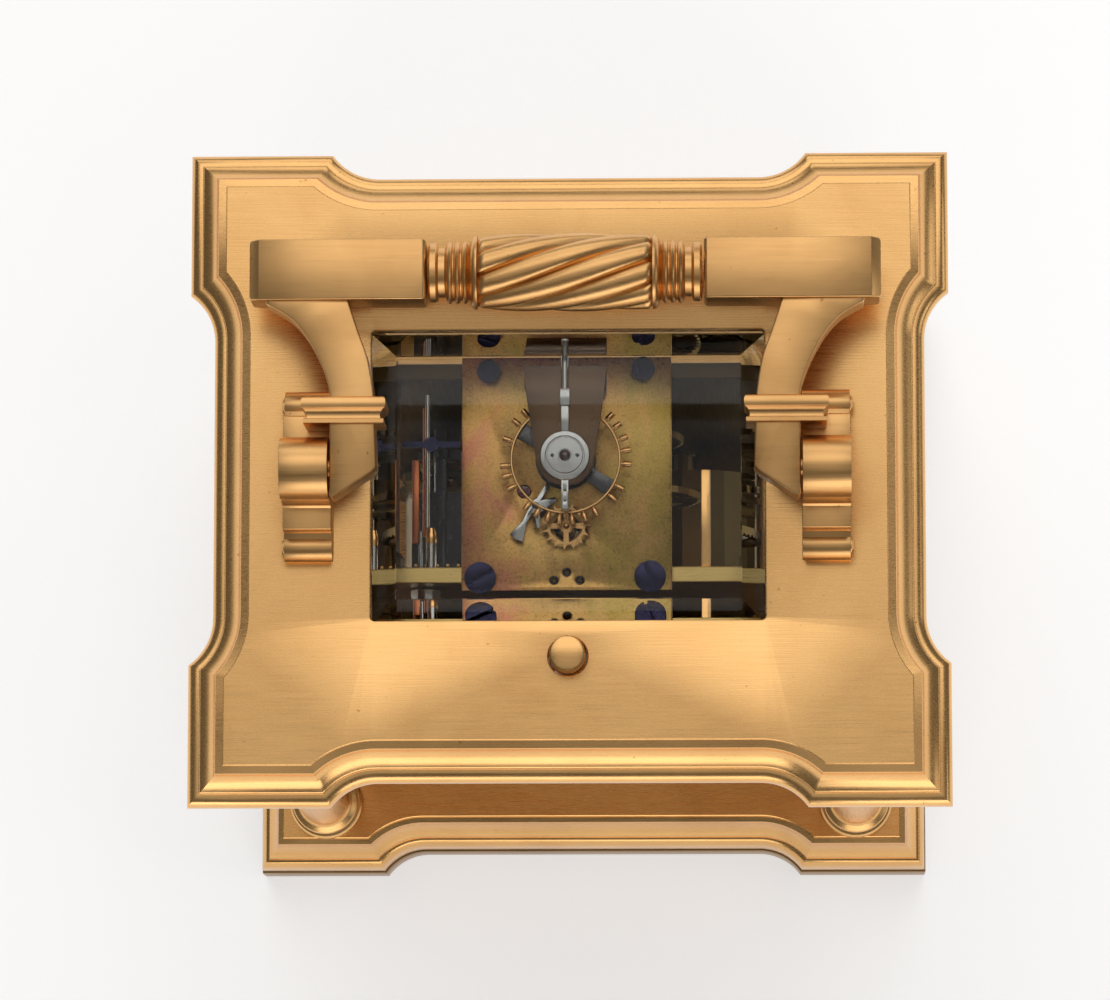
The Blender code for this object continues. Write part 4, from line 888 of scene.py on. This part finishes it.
def build_balance():
    centre = (BALANCE_X, BALANCE_Y)
    low, outer, inner = 138.8, 8.2, 7.85
    ring = [(inner, low), (outer, low), (outer, BALANCE_TOP - 0.1), (outer - 0.1, BALANCE_TOP),
            (inner + 0.08, BALANCE_TOP), (inner, BALANCE_TOP - 0.08), (inner, low)]
    new = turned(ring, centre, "Z", 96)
    turns = (44, 20, 8, -5, -28, -61, -72, -84, -107, -118, -129, -152, -164, -174, 161, 131, 33, -96, 143,
             -40)
    for angle in turns[:movement().timing_screws]:
        screw = bmesh.new()
        for radius, length, middle in ((0.24, 0.7, 0.1), (0.42, 1.25, 0.95)):
            bmesh.ops.create_cone(screw, cap_ends=True, segments=20, radius1=radius, radius2=radius,
                                  depth=length,
                                  matrix=Matrix.Translation((0, 0, middle)))
        soften(screw, 0.07, 60)
        turn = math.radians(angle)
        place = (centre[0] + outer * math.cos(turn), centre[1] + outer * math.sin(turn), 139.4)
        matrix = Matrix.Translation(place) @ Matrix.Rotation(turn, 4, "Z") @ Matrix.Rotation(math.pi / 2, 4,
                                                                                             "Y")
        bmesh.ops.transform(screw, matrix=matrix, verts=screw.verts)
        merge_in(new, screw)
    publish(new, "balance", wheel_gold(), "balance", ["balance_wheel"])
    arm = [(-8.0, -1.3), (-5.4, -1.1), (-2.2, -1.0), (2.2, -1.0), (5.4, -1.1), (8.0, -1.3),
           (8.0, 1.3), (5.4, 1.1), (2.2, 1.0), (-2.2, 1.0), (-5.4, 1.1), (-8.0, 1.3)]
    tilt = Matrix.Rotation(math.radians(-33), 2)
    arm = [tuple(tilt @ Vector(point) + Vector(centre)) for point in arm]
    new = soften(plate(arm, low + 0.15, low + 0.65), 0.08)
    merge_in(new, turned([(0.0, PLATFORM_TOP + 0.35), (0.35, PLATFORM_TOP + 0.35), (0.6, low - 0.6),
                          (0.6, low - 0.1),
                          (4.4, low - 0.1), (4.5, low), (4.5, low + 0.1), (1.6, low + 0.12),
                          (1.6, low + 0.9),
                          (0.6, low + 1.1), (0.3, BALANCE_TOP + 0.8), (0.0, BALANCE_TOP + 0.9)], centre, "Z",
                          48))
    publish(new, "balance_arm", dark_steel(), "balance")
    dress("balance_spring", blued())


def build_cock():
    x, y = BALANCE_X, BALANCE_Y
    low, high = span("balance_cock", 2)[1] - 1.3, span("balance_cock", 2)[1]
    back = span("balance_cock", 1)[1]
    head = arc((0.0, 0.0), 4.35, 0, -180, 24)
    outline = [(x + 6.1, back), (x + 5.7, back - 4.4)] + [(x + u, y + v) for u, v in head]
    outline += [(x - 5.7, back - 4.4), (x - 6.1, back)]
    new = soften(plate(outline, low, high), 0.22, 20)
    foot = rectangle(x - 6.0, x + 6.0, max(back - 4.4, y + 10.2), back)
    merge_in(new, soften(plate(foot, PLATFORM_TOP + 0.05, low + 0.3), 0.15))
    # The bridge's dark brown colour is painted shade; its metal matches the platform's.
    publish(new, "bridge", polished("bridge_dark", (0.15, 0.093, 0.055), 0.3), "case",
            ["balance_cock"])
    rise = high + 0.3
    disc = [(0.0, rise), (3.65, rise), (3.7, rise + 0.05), (3.7, rise + 0.6), (3.55, rise + 0.75),
            (2.95, rise + 0.78), (2.85, rise + 0.4), (2.7, rise + 0.4), (2.6, rise + 0.74),
            (1.0, rise + 0.76),
            (0.95, rise + 0.6), (0.0, rise + 0.6)]
    index = turned(disc, (x, y), "Z", 64)
    end = 19.6
    merge_in(index, soften(plate(rectangle(x - 0.6, x + 0.6, y + 3.3, y + 7.6), rise, rise + 0.6), 0.1))
    merge_in(index, soften(box((x - 0.75, x + 0.75), (y + 7.4, y + 10.0), (rise - 0.05, rise + 0.85)), 0.1))
    tail = [(0.0, y + 9.8), (0.55, y + 9.8), (0.55, end - 0.1), (0.45, end), (0.0, end)]
    merge_in(index, turned(tail, (x, rise + 0.4), "Y", 28))
    nose = plate(rectangle(x - 0.55, x + 0.55, y - 8.0, y - 3.3), rise, rise + 0.55, "Z",
                 [circle(0.16, 12, (x, y - 5.2)), circle(0.16, 12, (x, y - 6.7))])
    merge_in(index, soften(nose, 0.08))
    publish(index, "regulator", bright_steel(), "regulator", ["regulator_index"])
    studs = bmesh.new()
    for across in (-1.85, 1.85):
        merge_in(studs, turned([(0.0, rise + 0.7), (0.28, rise + 0.7), (0.28, rise + 0.8),
                                (0.0, rise + 0.82)],
                               (x + across, y), "Z", 16))
    publish(studs, "regulator_screws", dark_steel(), "regulator")
    stone = gem("end_stone", (0.16, 0.12, 0.11), 0.05, 0.3)
    cap = [(0.0, rise + 0.62), (0.85, rise + 0.62), (0.85, rise + 0.72), (0.62, rise + 0.95),
           (0.3, rise + 1.04),
           (0.0, rise + 1.06)]
    publish(turned(cap, (x, y), "Z", 32), "end_stone", stone, "regulator")


def build_escapement():
    centre, radius, count = (-0.6, -6.3), 3.55, 15
    low = span("escape_wheel", 2)[1] - 1.4
    outline = []
    for i in range(count):
        for turn, r in ((0.0, radius), (0.03, radius - 0.03), (0.10, radius - 0.55), (0.16, radius - 0.72),
                        (0.34, radius - 0.72), (0.385, radius - 0.6)):
            angle = TURN * i / count + turn
            outline.append((centre[0] + r * math.cos(angle), centre[1] + r * math.sin(angle)))
    holes = []
    for spoke in range(4):
        sector = arc(centre, 2.45, 90 * spoke + 10, 90 * spoke + 80, 6)
        sector += arc(centre, 0.95, 90 * spoke + 68, 90 * spoke + 22, 4)
        holes.append(sector)
    new = plate(outline, low + 0.1, low + 0.5, "Z", holes)
    leaf_low = span("escape_wheel", 2)[0]
    merge_in(new, turned([(0.0, leaf_low), (1.0, leaf_low), (1.0, low - 0.8), (0.45, low - 0.7),
                          (0.45, low + 0.9),
                          (0.2, low + 1.4), (0.0, low + 1.4)], centre, "Z", 24))
    publish(new, "escape", polished("escape_brass", tint(finish().gilt, 0.62), 0.24), "escape_wheel",
            ["escape_wheel"])
    z = span("pallet_lever", 2)
    low = z[1] - 1.2
    outline = [(-5.6, -4.3), (-5.3, -4.6), (-4.95, -6.7), (-4.4, -6.5), (-4.5, -4.4), (-2.0, -2.6),
               (-2.3, -2.0),
               (-4.4, -2.5), (-1.6, 1.9), (-2.1, 2.3), (-5.0, -2.2), (-5.7, -2.6), (-7.1, -5.6),
               (-9.0, -7.5),
               (-8.1, -8.3), (-7.0, -8.7), (-6.5, -5.9)]
    new = soften(plate(outline, low, low + 0.6), 0.07)
    merge_in(new, turned([(0.0, z[0]), (0.3, z[0]), (0.5, z[0] + 0.4), (0.5, low + 0.8), (0.25, z[1]),
                          (0.0, z[1])],
                         (-5.2, -3.2), "Z", 20))
    publish(new, "lever", bright_steel(), "pallet_lever", ["pallet_lever"])


# ---------------------------------------------------------------- dial

def bar(start, end, width, y):
    """A straight stroke in the dial's plane between (x, z) points."""
    a, b = Vector(start), Vector(end)
    along = (b - a).normalized() * 0.02
    out = Vector((-(b - a).y, (b - a).x)).normalized() * width / 2
    outline = [a - out - along, b - out + along, b + out + along, a + out - along]
    return plate([tuple(p) for p in outline], y - 0.12, y + 0.1, "Y")


NUMERALS = ("I", "II", "III", "IIII", "V", "VI", "VII", "VIII", "IX", "X", "XI", "XII")


def numeral(letters, middle, angle, height, y):
    """Roman numeral standing on the circle at an angle clockwise from the top."""
    widths = {"I": 1.15, "V": 2.5, "X": 2.5}
    new = bmesh.new()
    place = -sum(widths[letter] for letter in letters) / 2
    across, up = Vector((math.cos(angle), -math.sin(angle))), Vector((math.sin(angle), math.cos(angle)))

    def spot(u, v):
        return middle + across * u + up * v

    half = height / 2
    for letter in letters:
        u, width = place + widths[letter] / 2, widths[letter]
        if letter == "I":
            strokes = [((u, -half), (u, half), 0.55)]
        elif letter == "V":
            strokes = [((u - 0.85, half), (u, -half), 0.62), ((u + 0.85, half), (u, -half), 0.25)]
        else:
            strokes = [((u - 0.85, half), (u + 0.85, -half), 0.62),
                       ((u + 0.85, half), (u - 0.85, -half), 0.25)]
        for start, end, thick in strokes:
            merge_in(new, bar(spot(*start), spot(*end), thick, y))
        for v in (-half, half):
            if letter == "V" and v < 0:
                continue
            merge_in(new, bar(spot(u - width * 0.42, v), spot(u + width * 0.42, v), 0.22, y))
        place += width
    return new


def build_dial():
    x, y, z = (span("dial", axis) for axis in range(3))
    centre, radius = (sum(x) / 2, sum(z) / 2), (x[1] - x[0]) / 2
    front, back = y
    profile = [(3.9, back), (radius, back), (radius, front + 0.5), (radius - 0.25, front + 0.15),
               (radius - 0.8, front),
               (4.2, front), (3.9, front + 0.3), (3.9, back)]
    publish(turned(profile, centre, "Y", 96), "enamel_dial", enamel("fired_enamel"), "case",
            ["dial"])
    marks = bmesh.new()
    for inner, outer in ((radius - 2.5, radius - 2.3), (radius - 1.2, radius - 1.0)):
        ring = [(inner, front + 0.1), (outer, front + 0.1), (outer, front - 0.1), (inner, front - 0.1),
                (inner, front + 0.1)]
        merge_in(marks, turned(ring, centre, "Y", 96))
    middle = Vector(centre)
    for i in range(60):
        angle = TURN * i / 60
        way = Vector((math.sin(angle), math.cos(angle)))
        merge_in(marks, bar(middle + way * (radius - 2.4), middle + way * (radius - 1.1),
                            0.5 if i % 5 == 0 else 0.18, front))
    for i, letters in enumerate(NUMERALS):
        angle = TURN * (i + 1) / 12
        way = Vector((math.sin(angle), math.cos(angle)))
        merge_in(marks, numeral(letters, middle + way * (radius - 6.2), angle, 4.6, front))
    publish(marks, "dial_marks", gem("dial_black", (0.02, 0.02, 0.022), 0.35), "case")
    dress("dial_mask", brushed("mask_gilt", tint(finish().gilt, 0.85), 0.34, "Z", 0.4, 0.5), 0.15)


def hand(name, body, length, angle, bore):
    """A slim hand with a ringed tip, pointing clockwise from the top."""
    y = span(name, 1)
    centre = Vector((0.0, sum(span("dial", 2)) / 2))
    across, up = Vector((math.cos(angle), -math.sin(angle))), Vector((math.sin(angle), math.cos(angle)))

    def turn(points):
        return [tuple(centre + across * u + up * v) for u, v in points]

    ring_at = 0.68 * length
    ring = 1.25 if length < 18 else 1.1
    stem = turn([(-0.42, 1.6), (0.42, 1.6), (0.34, ring_at - ring + 0.2), (-0.34, ring_at - ring + 0.2)])
    tip = turn([(-0.5, ring_at + ring - 0.25), (0.5, ring_at + ring - 0.25), (0.3, ring_at + ring + 1.2),
                (0.0, length),
                (-0.3, ring_at + ring + 1.2)])
    tail = turn([(-0.4, -1.6), (0.4, -1.6), (0.65, -4.6), (0.0, -5.0), (-0.65, -4.6)])
    spot = turn([(0.0, ring_at)])[0]
    new = plate(circle(2.2, 32, tuple(centre)), *y, "Y", [circle(bore, 20, tuple(centre))])
    merge_in(new, plate(circle(ring, 28, spot), *y, "Y", [circle(ring - 0.5, 28, spot)]))
    for outline in (stem, tip, tail):
        merge_in(new, plate(outline, y[0] + 0.03, y[1] - 0.03, "Y"))
    publish(new, f"ringed_{name}", blued(), body, [name])


def build_hands():
    hand("hour_hand", "hour_hand", 15.5, math.radians(305), 1.55)
    hand("minute_hand", "minute_hand", 23.5, math.radians(60), 0.6)
    dress("cannon_pinion", bright_steel())
    dress("hour_wheel", movement_brass())
    dress("minute_wheel", movement_brass())
    dress("minute_wheel_stud", bright_steel())


# ---------------------------------------------------------------- movement frame, trains and gong

def build_movement():
    dress("front_plate", plate_edge(), 0.25)
    dress("back_plate", movement_brass(), 0.25)
    for level in ("upper", "lower"):
        for side in ("left", "right"):
            dress(f"pillar_{level}_{side}", movement_brass())
    for name in ("going_barrel", "strike_barrel", "intermediate_wheel", "centre_wheel", "third_wheel",
                 "contrate_wheel", "strike_pin_wheel"):
        dress(name, train_brass())
    dress("strike_fly", dark_steel())
    dress("gong_stand", plate_edge(), 0.2)
    build_gong()
    dress("gong_hammer", dark_steel())
    build_side_work()


def build_gong():
    """Spiral gong of round wire."""
    y, z = span("gong", 1), span("gong", 2)
    wire_r = (y[1] - y[0]) / 2
    inner, outer, turns, per_turn = 7.6, 21.0, 4.5, 64
    middle_x, middle_z = 0.0, z[0] + wire_r + outer
    sections = []
    for i in range(int(turns * per_turn) + 1):
        part = i / (turns * per_turn)
        angle, radius = TURN * turns * part + math.pi / 2, inner + (outer - inner) * part
        ring = []
        for u, v in circle(wire_r, 12):
            reach = radius + u
            ring.append(Vector((middle_x + reach * math.cos(angle), sum(y) / 2 + v,
                                middle_z + reach * math.sin(angle))))
        sections.append(ring)
    publish(drawn(sections), "spiral_gong", blued(), "case", ["gong"])


def build_side_work():
    """Fixed arbors and stops beside the platform, with a gold bar that is a painted highlight along the
    barrel's top and a copper bar and rod that are a painted reflection of a gilt column.
    """
    steel, gold, red = bmesh.new(), bmesh.new(), bmesh.new()
    for r, x, z, y0, y1 in ((0.36, -21.6, 129.0, -5.6, 14.5), (0.8, -21.0, 129.0, -11.6, -7.9),
                            (0.3, -22.6, 128.2, -11.5, -6.0)):
        merge_in(steel, rod(r, y0, y1, (x, z), "Y"))
    merge_in(gold, turned([(0.0, -7.9), (0.75, -7.9), (0.85, -7.6), (0.85, -6.6), (0.6, -5.6), (0.0, -5.6)],
                          (-21.0, 129.0), "Y", 24))
    for i in range(6):
        merge_in(gold, turned([(0.0, -11.2), (0.2, -11.2), (0.24, -11.0), (0.2, -10.8), (0.0, -10.7)],
                              (-25.0 + 1.6 * i, 127.5), "Y", 12))
    # This gold bar is a painted highlight: it stands where the shine runs along the top of the barrel.
    merge_in(gold, soften(box((19.3, 20.7), (-12.2, 3.1), (127.6, 129.4)), 0.15))
    # The copper bar and rod are a painted reflection of a gilt column.
    merge_in(red, soften(box((-24.0, -22.9), (-7.7, 5.0), (126.4, 127.6)), 0.15))
    merge_in(red, rod(0.35, -6.5, 13.0, (-22.1, 126.2), "Y", 16))
    publish(steel, "side_arbor", bright_steel(), "case")
    publish(gold, "side_fittings_and_painted_highlight", wheel_gold(), "case")
    publish(red, "painted_column_reflection", polished("copper", (0.42, 0.13, 0.05), 0.3), "case")
    lever = plate(rounded_rectangle(4.4, 0.45, 0.4, (-21.0, 6.9)), 129.4, 130.2)
    merge_in(lever, rod(1.1, 128.5, 130.5, (-21.0, 6.9)))
    publish(lever, "cross_lever", blued(), "case")


# ---------------------------------------------------------------- stage

def soft_light(name, place, target, size, radiance):
    """A rectangular softbox aimed at a place, as bright as its radiance says whatever its size."""
    lamp = bpy.data.lights.new(name, "AREA")
    lamp.shape = "RECTANGLE"
    lamp.size, lamp.size_y = size
    lamp.energy = radiance * math.pi * size[0] * size[1]
    holder = bpy.data.objects.new(name, lamp)
    holder.location = place
    holder.rotation_euler = (Vector(target) - Vector(place)).to_track_quat("-Z", "Y").to_euler()
    holder.visible_camera = False
    bpy.context.scene.collection.objects.link(holder)
    return holder


def build_stage():
    floor_half, pale, glow, sky = 3.0, 0.93, 0.5, 0.13
    new = bmesh.new()
    bmesh.ops.create_grid(new, x_segments=1, y_segments=1, size=floor_half)
    mesh = bpy.data.meshes.new("floor")
    new.to_mesh(mesh)
    new.free()
    paper = bpy.data.materials.new("pale_floor")
    paper.use_nodes = True
    surface = paper.node_tree.nodes["Principled BSDF"].inputs
    surface["Base Color"].default_value = (pale, pale, pale, 1.0)
    surface["Roughness"].default_value = 0.9
    surface["Emission Color"].default_value = (1.0, 1.0, 1.0, 1.0)
    surface["Emission Strength"].default_value = glow
    mesh.materials.append(paper)
    floor = bpy.data.objects.new("floor", mesh)
    bpy.context.scene.collection.objects.link(floor)
    world = bpy.data.worlds.new("studio")
    world.use_nodes = True
    world.node_tree.nodes["Background"].inputs["Color"].default_value = (1.0, 1.0, 1.0, 1.0)
    world.node_tree.nodes["Background"].inputs["Strength"].default_value = sky
    bpy.context.scene.world = world
    bpy.context.scene.view_settings.view_transform = "Standard"
    middle = (0.0, 0.0, 0.1)
    soft_light("overhead", (0.0, 0.72, 1.5), (0.0, 0.5, 0.1), (1.5, 1.0), 1.3)
    soft_light("overhead_front", (0.0, -0.2, 1.75), (0.0, -0.1, 0.1), (1.3, 0.9), 0.36)
    soft_light("back", (0.0, 1.25, 0.8), middle, (1.4, 0.7), 1.2)
    soft_light("front", (0.15, -1.15, 0.42), middle, (1.2, 0.6), 1.9)
    soft_light("right", (1.2, -0.2, 0.7), middle, (0.7, 0.5), 1.0)


def place_camera():
    """A long lens above the front edge, level with the cover."""
    place, target = Vector((0.0261, -0.1189, 1.0065)), Vector((-0.0021, -0.0031, 0.143))
    lens = bpy.data.cameras.new("camera")
    lens.lens, lens.sensor_width, lens.clip_start = 191.9, 36.0, 0.05
    holder = bpy.data.objects.new("camera", lens)
    back = (place - target).normalized()
    right = Vector((0, 1, 0)).cross(back).normalized()
    up = back.cross(right)
    holder.matrix_world = Matrix.Translation(place) @ Matrix((right, up, back)).transposed().to_4x4()
    bpy.context.scene.collection.objects.link(holder)
    bpy.context.scene.camera = holder


# ---------------------------------------------------------------- operators

class CLOCK_OT_cover(bpy.types.Operator):
    """Moulded top cover with its window and the button's well"""
    bl_idname = "clock.cover"
    bl_label = "Top cover"

    def execute(self, context):
        build_cover()
        return {"FINISHED"}


class CLOCK_OT_base(bpy.types.Operator):
    """Moulded base on its plain slab"""
    bl_idname = "clock.base"
    bl_label = "Base"

    def execute(self, context):
        build_base()
        return {"FINISHED"}


class CLOCK_OT_columns(bpy.types.Operator):
    """Four turned columns"""
    bl_idname = "clock.columns"
    bl_label = "Columns"

    def execute(self, context):
        build_columns()
        return {"FINISHED"}


class CLOCK_OT_box(bpy.types.Operator):
    """Posts, glasses and the back door"""
    bl_idname = "clock.box"
    bl_label = "Glazed box"

    def execute(self, context):
        build_box()
        return {"FINISHED"}


class CLOCK_OT_brackets(bpy.types.Operator):
    """Scroll brackets and the handle's pivot pins"""
    bl_idname = "clock.brackets"
    bl_label = "Brackets"

    def execute(self, context):
        build_brackets()
        return {"FINISHED"}


class CLOCK_OT_arms(bpy.types.Operator):
    """Handle arms with their collars and end blocks"""
    bl_idname = "clock.arms"
    bl_label = "Handle arms"

    def execute(self, context):
        build_arms()
        return {"FINISHED"}


class CLOCK_OT_grip(bpy.types.Operator):
    """Twisted grip between turned rings"""
    bl_idname = "clock.grip"
    bl_label = "Twisted grip"

    def execute(self, context):
        build_grip()
        return {"FINISHED"}


class CLOCK_OT_button(bpy.types.Operator):
    """Repeat button and the lever under it"""
    bl_idname = "clock.button"
    bl_label = "Repeat button"

    def execute(self, context):
        build_button()
        return {"FINISHED"}


class CLOCK_OT_platform(bpy.types.Operator):
    """Escapement platform with its screws and jewels"""
    bl_idname = "clock.platform"
    bl_label = "Platform"

    def execute(self, context):
        build_platform()
        return {"FINISHED"}


class CLOCK_OT_balance(bpy.types.Operator):
    """Balance with its timing screws and spring"""
    bl_idname = "clock.balance"
    bl_label = "Balance"

    def execute(self, context):
        build_balance()
        return {"FINISHED"}


class CLOCK_OT_cock(bpy.types.Operator):
    """Balance bridge and regulator"""
    bl_idname = "clock.cock"
    bl_label = "Bridge and regulator"

    def execute(self, context):
        build_cock()
        return {"FINISHED"}


class CLOCK_OT_escapement(bpy.types.Operator):
    """Escape wheel and pallet lever"""
    bl_idname = "clock.escapement"
    bl_label = "Escapement"

    def execute(self, context):
        build_escapement()
        return {"FINISHED"}


class CLOCK_OT_dial(bpy.types.Operator):
    """Enamel dial with its marks, and the mask round it"""
    bl_idname = "clock.dial"
    bl_label = "Dial"

    def execute(self, context):
        build_dial()
        return {"FINISHED"}


class CLOCK_OT_hands(bpy.types.Operator):
    """Blued hands and the wheels behind the dial"""
    bl_idname = "clock.hands"
    bl_label = "Hands"

    def execute(self, context):
        build_hands()
        return {"FINISHED"}


class CLOCK_OT_movement(bpy.types.Operator):
    """Plates, pillars, both trains and the gong"""
    bl_idname = "clock.movement"
    bl_label = "Movement"

    def execute(self, context):
        build_movement()
        return {"FINISHED"}


class CLOCK_OT_stage(bpy.types.Operator):
    """Floor, soft light and camera"""
    bl_idname = "clock.stage"
    bl_label = "Stage"

    def execute(self, context):
        build_stage()
        place_camera()
        return {"FINISHED"}


OPERATORS = (CLOCK_OT_cover, CLOCK_OT_base, CLOCK_OT_columns, CLOCK_OT_box, CLOCK_OT_brackets, CLOCK_OT_arms,
             CLOCK_OT_grip, CLOCK_OT_button, CLOCK_OT_platform, CLOCK_OT_balance, CLOCK_OT_cock,
             CLOCK_OT_escapement, CLOCK_OT_dial, CLOCK_OT_hands, CLOCK_OT_movement, CLOCK_OT_stage)


class CLOCK_PT_sidebar(bpy.types.Panel):
    """Sizes, finishes and pieces of the clock"""
    bl_idname = "CLOCK_PT_sidebar"
    bl_label = "Carriage Clock"
    bl_space_type = "VIEW_3D"
    bl_region_type = "UI"
    bl_category = "Clock"

    def draw(self, context):
        for attribute, group in SETTINGS:
            column = self.layout.column(align=True)
            column.label(text=group.__doc__)
            for name in group.__annotations__:
                column.prop(getattr(context.scene, attribute), name)
        column = self.layout.column(align=True)
        for operator in OPERATORS:
            column.operator(operator.bl_idname)


def register():
    for attribute, group in SETTINGS:
        bpy.utils.register_class(group)
        setattr(bpy.types.Scene, attribute, PointerProperty(type=group))
    for item in (*OPERATORS, CLOCK_PT_sidebar):
        bpy.utils.register_class(item)


def unregister():
    for item in (CLOCK_PT_sidebar, *reversed(OPERATORS)):
        bpy.utils.unregister_class(item)
    for attribute, group in reversed(SETTINGS):
        delattr(bpy.types.Scene, attribute)
        bpy.utils.unregister_class(group)


def main():
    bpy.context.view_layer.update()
    register()
    for operator in OPERATORS:
        group, name = operator.bl_idname.split(".")
        getattr(getattr(bpy.ops, group), name)()


if __name__ == "__main__":
    main()
